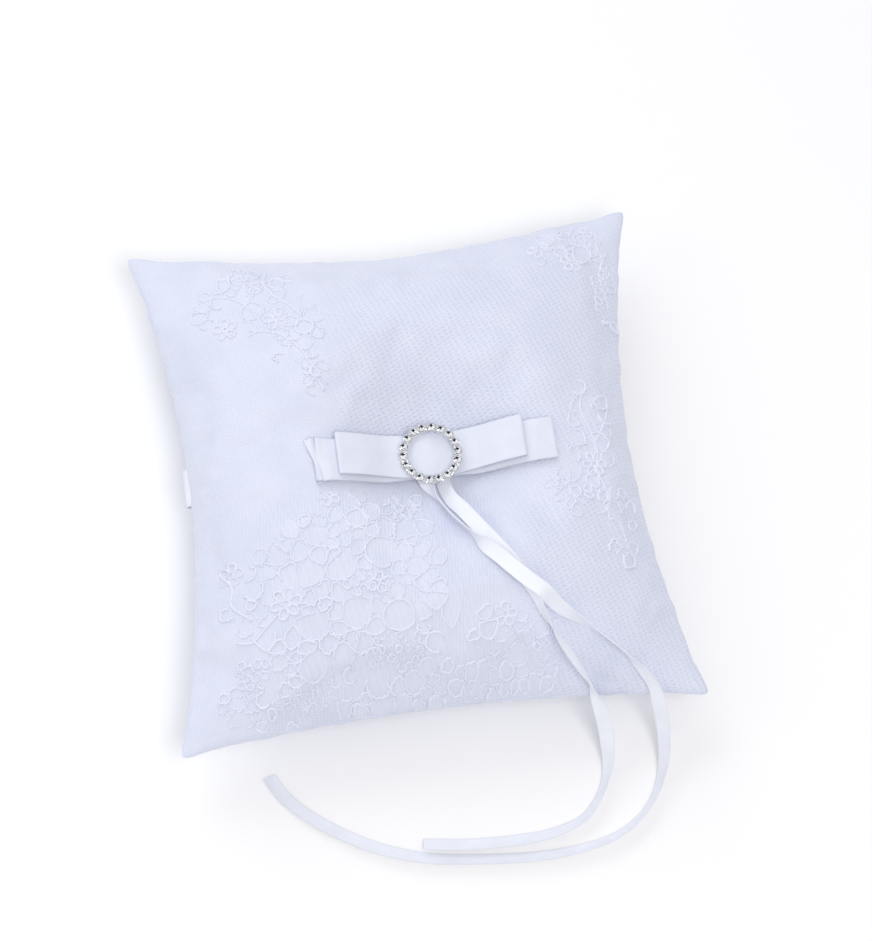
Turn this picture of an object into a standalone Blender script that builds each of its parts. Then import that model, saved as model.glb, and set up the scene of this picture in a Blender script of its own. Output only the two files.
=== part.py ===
"""Ring bearer pillow lying on its back: a square cushion under a lace overlay, with a flat
double bow held by a rhinestone slide buckle, two tie ribbons and a hand strap on the back.

Metres, +Z up. The pillow's centre is at X = Y = 0, its back rests on Z = 0, its top edge faces
+Y and the bow runs along X. Touching pieces keep CLEARANCE between them.
"""

import math

import bmesh
import bpy
from mathutils import Vector
from mathutils.bvhtree import BVHTree

CLEARANCE = 0.0003
CLOTH_CREASE = 40  # degrees: sharper edges aren't shaded smooth
RIBBON_CREASE = 30
METAL_CREASE = 35
THREAD_CREASE = 50

# Cushion
HALF_SIDE = 0.1015  # half the side, from corner to corner before the corners are rounded
SIDE_PULL_IN = 0.0136  # how far the filling draws in the middle of the left and right sides
TOP_PULL_IN = 0.0105
BOTTOM_PULL_IN = 0.0060
PULL_IN_POWER = 1.8  # 2 gives a parabola, less gives a sharper middle
CORNER_REACH = 0.07  # the share of a half side over which a corner is rounded
CORNER_ROUND = 0.0012  # how far the rounding takes off each side at the corner
SEAM_HEIGHT = 0.026  # the seam's height over the table
FRONT_CROWN = 0.0365  # the front's rise over the seam, before the tuft
BACK_CROWN = 0.034  # the back's depth under the seam, before the table flattens it
FULLNESS = 0.62  # less is fuller towards the seam
LACE_THICKNESS = 0.0005
PANEL_THICKNESS = 0.0006
CELL_LENGTH = 0.0113  # about, of the faces along each side of a panel
EDGE_CROWDING = 0.35  # how much narrower the faces get towards the seam

# Tuft
TUFT_X = 0.0052
TUFT_Y = -0.0006
TUFT_DEPTH = 0.0195  # how far the stitch draws the front in
TUFT_FLAT_RADIUS = 0.010
TUFT_SPREAD = 0.026
BACK_TUFT_DEPTH = 0.0035
BACK_TUFT_SPREAD = 0.009
THREAD_RADIUS = 0.0006
THREAD_HOLE_RADIUS = 0.0010
STITCH_HEAD_RADIUS = 0.0016
STITCH_HEAD_HEIGHT = 0.0004
STITCH_HEAD_TOP_SHARE = 0.8  # of its radius
KNOT_RADIUS = 0.0015
KNOT_HEIGHT = 0.0014
KNOT_END_SHARE = 0.7  # of its radius, where it rounds off
KNOT_END_ROUND = 0.15  # of its height
THREAD_SIDES = 12

# Hand strap
STRAP_WIDTH = 0.015
STRAP_THICKNESS = 0.0005
STRAP_Y = 0.0035
STRAP_SLACK = 0.0010  # how far its left end stands out from the seam
GROOVE_MARGIN = 0.0008  # room beside the strap
GROOVE_SHOULDER = 0.004

# Bow
BOW_RIBBON_WIDTH = 0.0165
BOW_WAIST_WIDTH = 0.0152  # where the buckle gathers it
BOW_RIBBON_THICKNESS = 0.0004
LOWER_LOOP_HALF_LENGTH = 0.0480
UPPER_LOOP_HALF_LENGTH = 0.0360
LOWER_LOOP_SKEW = 0.0036  # how much shorter its left end is along the lower edge
LOWER_LOOP_Y = -0.0008  # from the tuft
UPPER_LOOP_Y = 0.0008
LOOP_END_RISE_Y = 0.0012  # the loops bend a little towards the top edge
LOWER_LOOP_PUFF = 0.0012  # how far a loop's two layers bulge apart
UPPER_LOOP_PUFF = 0.0016
PUFF_RATE = 1.6  # how soon the bulge is full, from the buckle outwards
PUFF_END_DROP = 0.35  # the share of the bulge that is gone at the loop's end
WAIST_HALF_LENGTH = 0.0125
LOOP_STEP = 0.0045

# Buckle and stones
STONE_COUNT = 18
STONE_PITCH = 0.0037
STONE_RADIUS = 0.00135
STONE_TABLE_SHARE = 0.55
STONE_GIRDLE = 0.00012
STONE_CROWN_HEIGHT = 0.00055
STONE_PAVILION_DEPTH = 0.0008
STONE_FACETS = 8
STONE_GAP = 0.00012  # between a stone and its cup
CUP_WALL = 0.00030
CUP_RISE = 0.0009  # over the ring
CUP_SIDES = 12
SEAT_FLOOR_SHARE = 0.4  # of the seat's radius
RING_WIDTH = 0.0024
RING_THICKNESS = 0.0009
RING_SIDES = 54
BAR_WIDTH = 0.0012
BAR_THICKNESS = 0.0007

# Tie ribbons
TIE_WIDTH = 0.006
TIE_THICKNESS = 0.0004
TIE_GAP = 0.0005  # under a resting ribbon, so that it clears the cushion's rounded edge
TIE_STEP = 0.0045
STEEPEST_REST = math.radians(35)

# The routes' points: X, Y, the height it holds by itself (0 where it rests on what lies below)
# and its twist in degrees, which raises the side that lies to the left along the route.
SHORT_TIE_ROUTE = [
    (0.0088, -0.0042, 0, 0),
    (0.0089, -0.0090, 0, 0),
    (0.0094, -0.0135, 0, 0),
    (0.0110, -0.0185, 0, 0),
    (0.0142, -0.0235, 0, 0),
    (0.0176, -0.0298, 0, 0),
    (0.0213, -0.0362, 0, 0),
    (0.0255, -0.0430, 0, 0),
    (0.0312, -0.0520, 0, 0),
    (0.0355, -0.0605, 0, 0),
    (0.0385, -0.0690, 0, 6),
    (0.0424, -0.0768, 0, 38),
    (0.0478, -0.0845, 0, 46),
    (0.0530, -0.0915, 0.0370, 34),
    (0.0572, -0.0980, 0.0300, 22),
    (0.0604, -0.1050, 0.0205, 14),
    (0.0622, -0.1125, 0.0110, 18),
    (0.0622, -0.1205, 0.0045, 28),
    (0.0598, -0.1278, 0, 38),
    (0.0556, -0.1342, 0, 42),
    (0.0497, -0.1400, 0, 40),
    (0.0400, -0.1434, 0, 36),
    (0.0316, -0.1447, 0, 32),
    (0.0200, -0.1450, 0, 28),
    (0.0045, -0.1443, 0, 24),
    (-0.0135, -0.1420, 0, 20),
]
LONG_TIE_ROUTE = [
    (0.0018, -0.0042, 0, 0),
    (0.0024, -0.0095, 0, 0),
    (0.0040, -0.0138, 0, 28),
    (0.0058, -0.0178, 0, 62),
    (0.0092, -0.0245, 0, 72),
    (0.0130, -0.0309, 0, 74),
    (0.0166, -0.0362, 0, 66),
    (0.0202, -0.0408, 0, 40),
    (0.0242, -0.0453, 0, 12),
    (0.0288, -0.0510, 0, 0),
    (0.0340, -0.0568, 0, 0),
    (0.0397, -0.0621, 0, 0),
    (0.0449, -0.0668, 0, 8),
    (0.0527, -0.0726, 0, 30),
    (0.0608, -0.0785, 0, 55),
    (0.0688, -0.0850, 0, 58),
    (0.0748, -0.0912, 0, 50),
    (0.0792, -0.0968, 0.0320, 38),
    (0.0826, -0.1044, 0.0225, 28),
    (0.0844, -0.1134, 0.0125, 26),
    (0.0838, -0.1232, 0.0050, 34),
    (0.0802, -0.1324, 0, 44),
    (0.0738, -0.1406, 0, 50),
    (0.0648, -0.1468, 0, 48),
    (0.0530, -0.1505, 0, 44),
    (0.0380, -0.1521, 0, 40),
    (0.0225, -0.1519, 0, 36),
    (0.0070, -0.1504, 0, 32),
    (-0.0080, -0.1484, 0, 28),
    (-0.0182, -0.1459, 0, 26),
    (-0.0282, -0.1424, 0, 24),
    (-0.0378, -0.1378, 0, 22),
    (-0.0496, -0.1304, 0, 20),
    (-0.0590, -0.1228, 0, 20),
    (-0.0650, -0.1158, 0, 20),
    (-0.0690, -0.1085, 0, 20),
]

# Colours
WHITE_SATIN = (0.86, 0.88, 0.95)
WHITE_LACE = (0.90, 0.91, 0.96)
WHITE_RIBBON = (0.92, 0.93, 0.98)
WHITE_FIBRE = (0.93, 0.93, 0.93)
SILVER = (0.86, 0.86, 0.87)
CRYSTAL = (0.95, 0.96, 0.98)

CELLS = round(2 * HALF_SIDE / CELL_LENGTH)
BOW_LAYER = BOW_RIBBON_THICKNESS + CLEARANCE
TIE_LAYER = TIE_THICKNESS + CLEARANCE
FRONT_PANEL_INSET = LACE_THICKNESS + CLEARANCE
FILL_INSET = FRONT_PANEL_INSET + PANEL_THICKNESS + CLEARANCE
STONE_CIRCLE_RADIUS = STONE_PITCH * STONE_COUNT / math.tau
CUP_RADIUS = STONE_RADIUS + STONE_GAP + CUP_WALL
HOLE_CUTTER_BOTTOM = -0.01
HOLE_CUTTER_TOP = 0.09
FAR_ABOVE = 0.2


def clear_scene():
    for found in list(bpy.data.objects):
        bpy.data.objects.remove(found)


def smoothstep(share):
    share = min(max(share, 0.0), 1.0)
    return share * share * (3 - 2 * share)


def material(name, colour, roughness, metallic=0.0):
    made = bpy.data.materials.new(name)
    made.use_nodes = True
    shader = made.node_tree.nodes["Principled BSDF"]
    shader.inputs["Base Color"].default_value = (*colour, 1)
    shader.inputs["Roughness"].default_value = roughness
    shader.inputs["Metallic"].default_value = metallic
    return made


def link(name, data, finish=None):
    made = bpy.data.objects.new(name, data)
    bpy.context.scene.collection.objects.link(made)
    if finish:
        data.materials.append(finish)
    return made


def face_outwards(shaping):
    bmesh.ops.recalc_face_normals(shaping, faces=shaping.faces)
    shaping.normal_update()
    if shaping.calc_volume(signed=True) < 0:
        bmesh.ops.reverse_faces(shaping, faces=shaping.faces)


def mesh_object(name, points, faces, finish=None):
    mesh = bpy.data.meshes.new(name)
    mesh.from_pydata(points, [], faces)
    shaping = bmesh.new()
    shaping.from_mesh(mesh)
    face_outwards(shaping)
    shaping.to_mesh(mesh)
    shaping.free()
    return link(name, mesh, finish)


def hide(helper):
    helper.hide_render = True
    helper.display_type = "WIRE"
    return helper


def boolean(target, other, operation):
    modifier = target.modifiers.new(operation.title(), "BOOLEAN")
    modifier.operation = operation
    modifier.object = other


def shade_smooth(made, degrees=CLOTH_CREASE):
    made.data.shade_smooth()
    made.data.set_sharp_from_angle(angle=math.radians(degrees))


# Pillow shape


def outline_point(u, v, inset):
    """The place on the seam plane of (u, v), which both run from -1 to 1."""
    half = HALF_SIDE - inset
    end_pull_in = (TOP_PULL_IN + BOTTOM_PULL_IN + (TOP_PULL_IN - BOTTOM_PULL_IN) * v) / 2
    x = u * (half - SIDE_PULL_IN * (1 - abs(v) ** PULL_IN_POWER))
    y = v * (half - end_pull_in * (1 - abs(u) ** PULL_IN_POWER))
    nearness = max(0.0, abs(u) + abs(v) - 2 + CORNER_REACH) / CORNER_REACH
    rounding = CORNER_ROUND * nearness**2
    return x - math.copysign(rounding, u), y - math.copysign(rounding, v)


def crown(u, v):
    return max(0.0, (1 - u * u) * (1 - v * v)) ** FULLNESS


def front_dimple(x, y):
    reach = max(0.0, math.hypot(x - TUFT_X, y - TUFT_Y) - TUFT_FLAT_RADIUS)
    return TUFT_DEPTH * math.exp(-((reach / TUFT_SPREAD) ** 2))


def back_dimple(x, y):
    reach = math.hypot(x - TUFT_X, y - TUFT_Y)
    return BACK_TUFT_DEPTH * math.exp(-((reach / BACK_TUFT_SPREAD) ** 2))


def strap_groove(y):
    beside = abs(y - STRAP_Y) - STRAP_WIDTH / 2 - GROOVE_MARGIN
    depth = STRAP_THICKNESS + CLEARANCE
    return depth * (1 - smoothstep(beside / GROOVE_SHOULDER))


def front_point(u, v, inset, seam_gap=CLEARANCE / 2):
    x, y = outline_point(u, v, inset)
    rise = (FRONT_CROWN - inset) * crown(u, v)
    dimple = front_dimple(x, y) * min(1.0, rise / TUFT_DEPTH)
    return x, y, SEAM_HEIGHT + seam_gap + rise - dimple


def back_point(u, v, inset, seam_gap=CLEARANCE / 2):
    x, y = outline_point(u, v, inset)
    depth = (BACK_CROWN - inset) * crown(u, v)
    height = max(SEAM_HEIGHT - seam_gap - depth, inset + strap_groove(y))
    return x, y, height + back_dimple(x, y)


def crowded(share):
    """-1 to 1 in even steps becomes -1 to 1 with shorter steps near the ends."""
    return (1 - EDGE_CROWDING) * share + EDGE_CROWDING * math.sin(share * math.pi / 2)


def even_stations():
    return [crowded(2 * step / CELLS - 1) for step in range(CELLS + 1)]


def across_stations():
    """The stations along X, the one nearest the tuft moved onto it."""
    tuft = TUFT_X / (HALF_SIDE - SIDE_PULL_IN)
    stations = even_stations()
    nearest = min(range(len(stations)), key=lambda index: abs(stations[index] - tuft))
    stations[nearest] = tuft
    return stations


def along_stations():
    """The stations along Y: the tuft and the strap's groove and shoulders get their own."""
    groove_half = STRAP_WIDTH / 2 + GROOVE_MARGIN
    middle_half = HALF_SIDE - (TOP_PULL_IN + BOTTOM_PULL_IN) / 2
    edges = [
        (STRAP_Y - groove_half - GROOVE_SHOULDER) / middle_half,
        (STRAP_Y - groove_half) / middle_half,
        (STRAP_Y + groove_half) / middle_half,
        (STRAP_Y + groove_half + GROOVE_SHOULDER) / middle_half,
    ]
    closest = GROOVE_SHOULDER / 2 / middle_half
    clear = [v for v in even_stations() if min(abs(v - edge) for edge in edges) > closest]
    inside = [v for v in clear if not edges[1] < v < edges[2]]
    return sorted(inside + edges + [TUFT_Y / middle_half])


def sheet_faces(us, vs, start=0):
    """Triangles over a grid, each cell split towards the middle so the corners stay raised."""
    columns = len(us)
    faces = []
    for row in range(len(vs) - 1):
        for column in range(columns - 1):
            near = start + row * columns + column
            far = near + columns
            if (us[column] + us[column + 1]) * (vs[row] + vs[row + 1]) > 0:
                faces += [(near, near + 1, far + 1), (near, far + 1, far)]
            else:
                faces += [(near, near + 1, far), (near + 1, far + 1, far)]
    return faces


def rim_indices(columns, rows):
    bottom = list(range(columns))
    right = [row * columns + columns - 1 for row in range(1, rows)]
    top = [(rows - 1) * columns + column for column in range(columns - 2, -1, -1)]
    left = [row * columns for row in range(rows - 2, 0, -1)]
    return bottom + right + top + left


def panel(name, point, inset, thickness, finish):
    """A shell between the pillow shape at inset and the one a thickness further in."""
    us = across_stations()
    vs = along_stations()
    outer = [point(u, v, inset) for v in vs for u in us]
    inner = [point(u, v, inset + thickness) for v in vs for u in us]
    count = len(outer)
    faces = sheet_faces(us, vs) + sheet_faces(us, vs, count)
    rim = rim_indices(len(us), len(vs))
    for here, after in zip(rim, rim[1:] + rim[:1]):
        faces.append((here, after, after + count, here + count))
    made = mesh_object(name, outer + inner, faces, finish)
    shade_smooth(made)
    return made


def make_fill(finish):
    us = across_stations()
    vs = along_stations()
    front = [front_point(u, v, FILL_INSET, 0) for v in vs for u in us]
    back = [back_point(u, v, FILL_INSET, 0) for v in vs for u in us]
    count = len(front)
    rim = set(rim_indices(len(us), len(vs)))
    joined = {index + count: index for index in rim}
    faces = sheet_faces(us, vs)
    for face in sheet_faces(us, vs, count):
        faces.append(tuple(joined.get(index, index) for index in face))
    made = mesh_object("cushion_fill", front + back, faces, finish)
    shaping = bmesh.new()
    shaping.from_mesh(made.data)
    loose = [vertex for vertex in shaping.verts if not vertex.link_faces]
    bmesh.ops.delete(shaping, geom=loose, context="VERTS")
    shaping.to_mesh(made.data)
    shaping.free()
    shade_smooth(made)
    return made


def thread_hole_cutter():
    shaping = bmesh.new()
    bmesh.ops.create_cone(
        shaping,
        cap_ends=True,
        segments=THREAD_SIDES,
        radius1=THREAD_HOLE_RADIUS,
        radius2=THREAD_HOLE_RADIUS,
        depth=HOLE_CUTTER_TOP - HOLE_CUTTER_BOTTOM,
    )
    mesh = bpy.data.meshes.new("thread_hole_cutter")
    shaping.to_mesh(mesh)
    shaping.free()
    made = hide(link("thread_hole_cutter", mesh))
    made.location = (TUFT_X, TUFT_Y, (HOLE_CUTTER_TOP + HOLE_CUTTER_BOTTOM) / 2)
    return made


def surface_of(*objects):
    """The faces of the objects, for heights to be read from."""
    points = []
    faces = []
    shapes = bpy.context.evaluated_depsgraph_get()
    for source in objects:
        mesh = source.evaluated_get(shapes).to_mesh()
        faces += [[index + len(points) for index in face.vertices] for face in mesh.polygons]
        points += [source.matrix_world @ vertex.co for vertex in mesh.vertices]
    return BVHTree.FromPolygons(points, faces)


def height_at(surface, x, y):
    """The surface's height at a place, or the table's."""
    hit = surface.ray_cast(Vector((x, y, FAR_ABOVE)), Vector((0, 0, -1)))[0]
    return hit.z if hit else 0.0


def underside_at(surface, x, y):
    return surface.ray_cast(Vector((x, y, -FAR_ABOVE)), Vector((0, 0, 1)))[0].z


# Hand strap


def ribbon_strip(name, stations, thickness, closed, finish):
    """A ribbon from stations of (centre, half width, skew), its width along Y, made solid."""
    points = []
    for centre, half_width, skew in stations:
        points.append((centre[0] + skew, centre[1] - half_width, centre[2]))
        points.append((centre[0], centre[1] + half_width, centre[2]))
    faces = []
    for index in range(len(stations) - (0 if closed else 1)):
        here = 2 * index
        after = 2 * ((index + 1) % len(stations))
        faces.append((here, here + 1, after + 1, after))
    made = mesh_object(name, points, faces, finish)
    solid = made.modifiers.new("Solidify", "SOLIDIFY")
    solid.thickness = thickness
    solid.offset = 0
    shade_smooth(made, RIBBON_CREASE)
    return made


def make_strap(finish):
    outset = CLEARANCE + STRAP_THICKNESS / 2
    stations = []
    for u in across_stations():
        x, y, z = back_point(u, STRAP_Y / HALF_SIDE, -outset)
        x -= STRAP_SLACK - outset if u == -1 else 0
        stations.append(((x, STRAP_Y, z - back_dimple(x, y)), STRAP_WIDTH / 2, 0))
    return ribbon_strip("hand_strap", stations, STRAP_THICKNESS, False, finish)


# Bow


def half_width_at(distance):
    share = smoothstep((distance - WAIST_HALF_LENGTH / 2) / WAIST_HALF_LENGTH)
    return (BOW_WAIST_WIDTH + (BOW_RIBBON_WIDTH - BOW_WAIST_WIDTH) * share) / 2


def bow_base(lace, x, y):
    """The underside of the bow's lowest layer: over the lace, and over the ties at the waist."""
    widest = BOW_RIBBON_WIDTH / 2
    level = max(height_at(lace, x, y + share * widest) for share in (-1, -0.5, 0, 0.5, 1))
    over_ties = 1 - smoothstep((abs(x - TUFT_X) - WAIST_HALF_LENGTH) / WAIST_HALF_LENGTH)
    return level + CLEARANCE + TIE_LAYER * over_ties


def puff(distance, half_length):
    """0 within the buckle, 1 in the middle of the loop's side, a little less at its end."""
    out = (distance - WAIST_HALF_LENGTH) / (half_length - WAIST_HALF_LENGTH)
    return smoothstep(PUFF_RATE * out) * (1 - PUFF_END_DROP * max(0.0, out) ** 2)


def over_bar(distance):
    """1 at the buckle's bar, 0 where the ring presses the ribbon down."""
    return 1 - smoothstep((distance - BAR_WIDTH) / (STONE_CIRCLE_RADIUS - RING_WIDTH - BAR_WIDTH))


def lower_loop_top(lace, x):
    y = TUFT_Y + LOWER_LOOP_Y
    swell = LOWER_LOOP_PUFF * puff(abs(x - TUFT_X), LOWER_LOOP_HALF_LENGTH)
    return bow_base(lace, x, y) + BOW_LAYER + swell + BOW_RIBBON_THICKNESS


def loop_stations(half_length, y, skew, back_height, front_height):
    """The ribbon's stations round a loop: along its back, then along its front."""
    fold = BOW_LAYER
    reach = half_length - fold
    whole_steps = int(reach / LOOP_STEP)
    distances = [step * LOOP_STEP for step in range(-whole_steps, whole_steps + 1)]
    xs = [TUFT_X + distance for distance in [-reach] + distances + [reach]]
    lift = [LOOP_END_RISE_Y * ((x - TUFT_X) / half_length) ** 2 for x in xs]
    halves = [half_width_at(abs(x - TUFT_X)) for x in xs]
    overhang = LOWER_LOOP_HALF_LENGTH - UPPER_LOOP_HALF_LENGTH
    skews = [skew * smoothstep((TUFT_X - x - UPPER_LOOP_HALF_LENGTH) / overhang) for x in xs]
    rows = list(zip(xs, lift, halves, skews))
    back = [((x, y + up, back_height(x)), half, lean) for x, up, half, lean in rows]
    front = [((x, y + up, front_height(x)), half, lean) for x, up, half, lean in rows]
    folds = []
    for index, side in ((-1, 1), (0, -1)):
        low, half, lean = back[index]
        high = front[index][0]
        middle = (low[0] + side * fold, low[1], (low[2] + high[2]) / 2)
        folds.append((middle, half, lean))
    return back + [folds[0]] + front[::-1] + [folds[1]]


def make_lower_loop(lace, finish):
    y = TUFT_Y + LOWER_LOOP_Y

    def back_height(x):
        return bow_base(lace, x, y) + BOW_RIBBON_THICKNESS / 2

    def front_height(x):
        return lower_loop_top(lace, x) - BOW_RIBBON_THICKNESS / 2

    size = LOWER_LOOP_HALF_LENGTH
    stations = loop_stations(size, y, LOWER_LOOP_SKEW, back_height, front_height)
    return ribbon_strip("bow_lower_loop", stations, BOW_RIBBON_THICKNESS, True, finish)


def upper_back_top(lace, x):
    return lower_loop_top(lace, x) + BOW_LAYER


def bar_height(lace):
    """The underside of the buckle's bar."""
    return upper_back_top(lace, TUFT_X) + 2 * CLEARANCE + STITCH_HEAD_HEIGHT


def make_upper_loop(lace, finish):
    y = TUFT_Y + UPPER_LOOP_Y
    bar_lift = bar_height(lace) + BAR_THICKNESS - upper_back_top(lace, TUFT_X)

    def back_height(x):
        return upper_back_top(lace, x) - BOW_RIBBON_THICKNESS / 2

    def front_height(x):
        distance = abs(x - TUFT_X)
        swell = UPPER_LOOP_PUFF * puff(distance, UPPER_LOOP_HALF_LENGTH)
        return back_height(x) + BOW_LAYER + swell + bar_lift * over_bar(distance)

    stations = loop_stations(UPPER_LOOP_HALF_LENGTH, y, 0, back_height, front_height)
    return ribbon_strip("bow_upper_loop", stations, BOW_RIBBON_THICKNESS, True, finish)


# Buckle


def ring_height(lace):
    """The underside of the buckle's ring, over the upper loop's front layer."""
    reach = STONE_CIRCLE_RADIUS + RING_WIDTH
    level = max(upper_back_top(lace, TUFT_X + side * reach) for side in (-1, 1))
    return level + BOW_LAYER + CLEARANCE


def stone_places(height):
    places = []
    for index in range(STONE_COUNT):
        angle = math.tau * index / STONE_COUNT
        x = TUFT_X + STONE_CIRCLE_RADIUS * math.cos(angle)
        y = TUFT_Y + STONE_CIRCLE_RADIUS * math.sin(angle)
        places.append((x, y, height, angle))
    return places


def turned_mesh(name, profile, sides):
    """A solid turned round Z from a profile of (radius, height), both its ends on the axis."""
    shaping = bmesh.new()
    rings = []
    for radius, height in profile:
        if radius == 0:
            rings.append([shaping.verts.new((0, 0, height))])
            continue
        angles = [math.tau * (index + 0.5) / sides for index in range(sides)]
        ring = [(radius * math.cos(angle), radius * math.sin(angle), height) for angle in angles]
        rings.append([shaping.verts.new(point) for point in ring])
    for low, high in zip(rings, rings[1:]):
        for index in range(sides):
            after = (index + 1) % sides
            corners = [low[index % len(low)], low[after % len(low)]]
            corners += [high[after % len(high)], high[index % len(high)]]
            unique = list(dict.fromkeys(corners))
            shaping.faces.new(unique)
    face_outwards(shaping)
    mesh = bpy.data.meshes.new(name)
    shaping.to_mesh(mesh)
    shaping.free()
    return mesh


def copies_at(name, unit, places):
    """One mesh holding a copy of the unit at each place."""
    points = []
    faces = []
    for x, y, z, _ in places:
        faces += [[index + len(points) for index in face.vertices] for face in unit.polygons]
        points += [(x + vertex.co.x, y + vertex.co.y, z + vertex.co.z) for vertex in unit.vertices]
    return hide(mesh_object(name, points, faces))


def cylinder_profile(radius, bottom, top):
    return [(0, bottom), (radius, bottom), (radius, top), (0, top)]


def make_buckle(height, bar_bottom, finish):
    outer = STONE_CIRCLE_RADIUS + RING_WIDTH / 2
    inner = STONE_CIRCLE_RADIUS - RING_WIDTH / 2
    points = []
    for index in range(RING_SIDES):
        angle = math.tau * index / RING_SIDES
        for radius, z in ((inner, 0), (outer, 0), (outer, RING_THICKNESS), (inner, RING_THICKNESS)):
            points.append((TUFT_X + radius * math.cos(angle),
                           TUFT_Y + radius * math.sin(angle), height + z))
    faces = []
    for index in range(RING_SIDES):
        here = 4 * index
        after = 4 * ((index + 1) % RING_SIDES)
        for corner in range(4):
            beside = (corner + 1) % 4
            faces.append((here + corner, here + beside, after + beside, after + corner))
    made = mesh_object("slide_buckle", points, faces, finish)

    top = height + RING_THICKNESS + CUP_RISE
    cup_profile = cylinder_profile(CUP_RADIUS, height + RING_THICKNESS / 2, top)
    cups = turned_mesh("cup", cup_profile, CUP_SIDES)
    seat_bottom = top - STONE_PAVILION_DEPTH - STONE_GAP
    seat_radius = STONE_RADIUS + STONE_GAP
    seat = [(0, seat_bottom), (seat_radius * SEAT_FLOOR_SHARE, seat_bottom)]
    seat.append((seat_radius, top - STONE_GAP))
    seat += [(seat_radius, top + CUP_RISE), (0, top + CUP_RISE)]
    seats = turned_mesh("seat", seat, CUP_SIDES)
    ground = stone_places(0)
    boolean(made, bar_helper(height, bar_bottom), "UNION")
    boolean(made, copies_at("cups_helper", cups, ground), "UNION")
    boolean(made, copies_at("seats_cutter", seats, ground), "DIFFERENCE")
    shade_smooth(made, METAL_CREASE)
    return made, top


def bar_helper(height, bar_bottom):
    """The bar along Y, its ends bent up into the ring."""
    reach = STONE_CIRCLE_RADIUS + RING_WIDTH / 8
    bend = STONE_CIRCLE_RADIUS - RING_WIDTH
    end_lift = max(0.0, height + RING_THICKNESS / 8 - bar_bottom)
    profile = [(-reach, end_lift), (-bend, 0), (bend, 0), (reach, end_lift)]
    points = []
    for y, lift in profile:
        for side in (-1, 1):
            x = TUFT_X + side * BAR_WIDTH / 2
            points.append((x, TUFT_Y + y, bar_bottom + lift))
            points.append((x, TUFT_Y + y, bar_bottom + lift + BAR_THICKNESS))
    faces = [(0, 1, 3, 2), (12, 13, 15, 14)]
    for step in range(3):
        here = 4 * step
        for low, high in ((0, 1), (1, 3), (3, 2), (2, 0)):
            faces.append((here + low, here + high, here + 4 + high, here + 4 + low))
    return hide(mesh_object("bar_helper", points, faces))


def make_stones(top, finish):
    girdle = STONE_GIRDLE
    profile = [(0, -STONE_PAVILION_DEPTH), (STONE_RADIUS, 0), (STONE_RADIUS, girdle)]
    profile.append((STONE_RADIUS * STONE_TABLE_SHARE, girdle + STONE_CROWN_HEIGHT))
    profile.append((0, girdle + STONE_CROWN_HEIGHT))
    mesh = turned_mesh("stone", profile, STONE_FACETS)
    mesh.materials.append(finish)
    for number, (x, y, z, angle) in enumerate(stone_places(top), 1):
        made = link(f"stone_{number:02d}", mesh)
        made.location = (x, y, z)
        made.rotation_euler = (0, 0, angle)


# Tuft thread


def make_thread(lace, back, finish):
    head = upper_back_top(lace, TUFT_X) + CLEARANCE
    reach = (0, -KNOT_RADIUS, KNOT_RADIUS)
    knot = min(underside_at(back, TUFT_X + x, TUFT_Y + y) for x in reach for y in reach) - CLEARANCE
    profile = [
        (0, knot - KNOT_HEIGHT),
        (KNOT_RADIUS * KNOT_END_SHARE, knot - KNOT_HEIGHT * (1 - KNOT_END_ROUND)),
        (KNOT_RADIUS, knot - KNOT_HEIGHT / 2),
        (KNOT_RADIUS * KNOT_END_SHARE, knot - KNOT_HEIGHT * KNOT_END_ROUND),
        (THREAD_RADIUS, knot),
        (THREAD_RADIUS, head),
        (STITCH_HEAD_RADIUS, head),
        (STITCH_HEAD_RADIUS * STITCH_HEAD_TOP_SHARE, head + STITCH_HEAD_HEIGHT),
        (0, head + STITCH_HEAD_HEIGHT),
    ]
    made = link("tuft_thread", turned_mesh("tuft_thread", profile, THREAD_SIDES), finish)
    made.location = (TUFT_X, TUFT_Y, 0)
    shade_smooth(made, THREAD_CREASE)


# Tie ribbons


def catmull_rom(before, start, end, after, share):
    square = share * share
    cube = square * share
    total = 2 * start + (end - before) * share
    total += (2 * before - 5 * start + 4 * end - after) * square
    return (total + (3 * start - before - 3 * end + after) * cube) / 2


def read_route(route):
    """Points about TIE_STEP apart on a smooth curve through the route."""
    rows = [Vector(row) for row in route]
    ends = [2 * rows[0] - rows[1]] + rows + [2 * rows[-1] - rows[-2]]
    read = []
    for before, start, end, after in zip(ends, ends[1:], ends[2:], ends[3:]):
        steps = max(1, round((end.xy - start.xy).length / TIE_STEP))
        read += [catmull_rom(before, start, end, after, n / steps) for n in range(steps)]
    return read + [rows[-1]]


def sides_along(rows):
    """The level direction to the left of the route at each row."""
    sides = []
    for index, _ in enumerate(rows):
        ahead = rows[min(index + 1, len(rows) - 1)].xy - rows[max(index - 1, 0)].xy
        sides.append(Vector((-ahead.y, ahead.x)).normalized())
    return sides


def smoothed(values):
    padded = [values[0]] + values + [values[-1]]
    return [(a + 2 * b + c) / 4 for a, b, c in zip(padded, padded[1:], padded[2:])]


def resting_height(surface, row, side, tilt):
    """How high the ribbon's middle lies when one of its points touches the surface."""
    half = TIE_WIDTH / 2
    highest = 0
    for share in (-1, -0.5, 0, 0.5, 1):
        place = row.xy + side * share * half * math.cos(tilt)
        rise = share * half * math.sin(tilt)
        highest = max(highest, height_at(surface, place.x, place.y) - rise)
    return highest + TIE_GAP + TIE_THICKNESS / 2


def rest_tilts(surface, rows, sides):
    tilts = []
    for row, side in zip(rows, sides):
        left = row.xy + side * TIE_WIDTH / 2
        right = row.xy - side * TIE_WIDTH / 2
        rise = height_at(surface, left.x, left.y) - height_at(surface, right.x, right.y)
        slope = math.atan2(rise, TIE_WIDTH)
        tilts.append(max(-STEEPEST_REST, min(STEEPEST_REST, slope)))
    return smoothed(smoothed(tilts))


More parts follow.
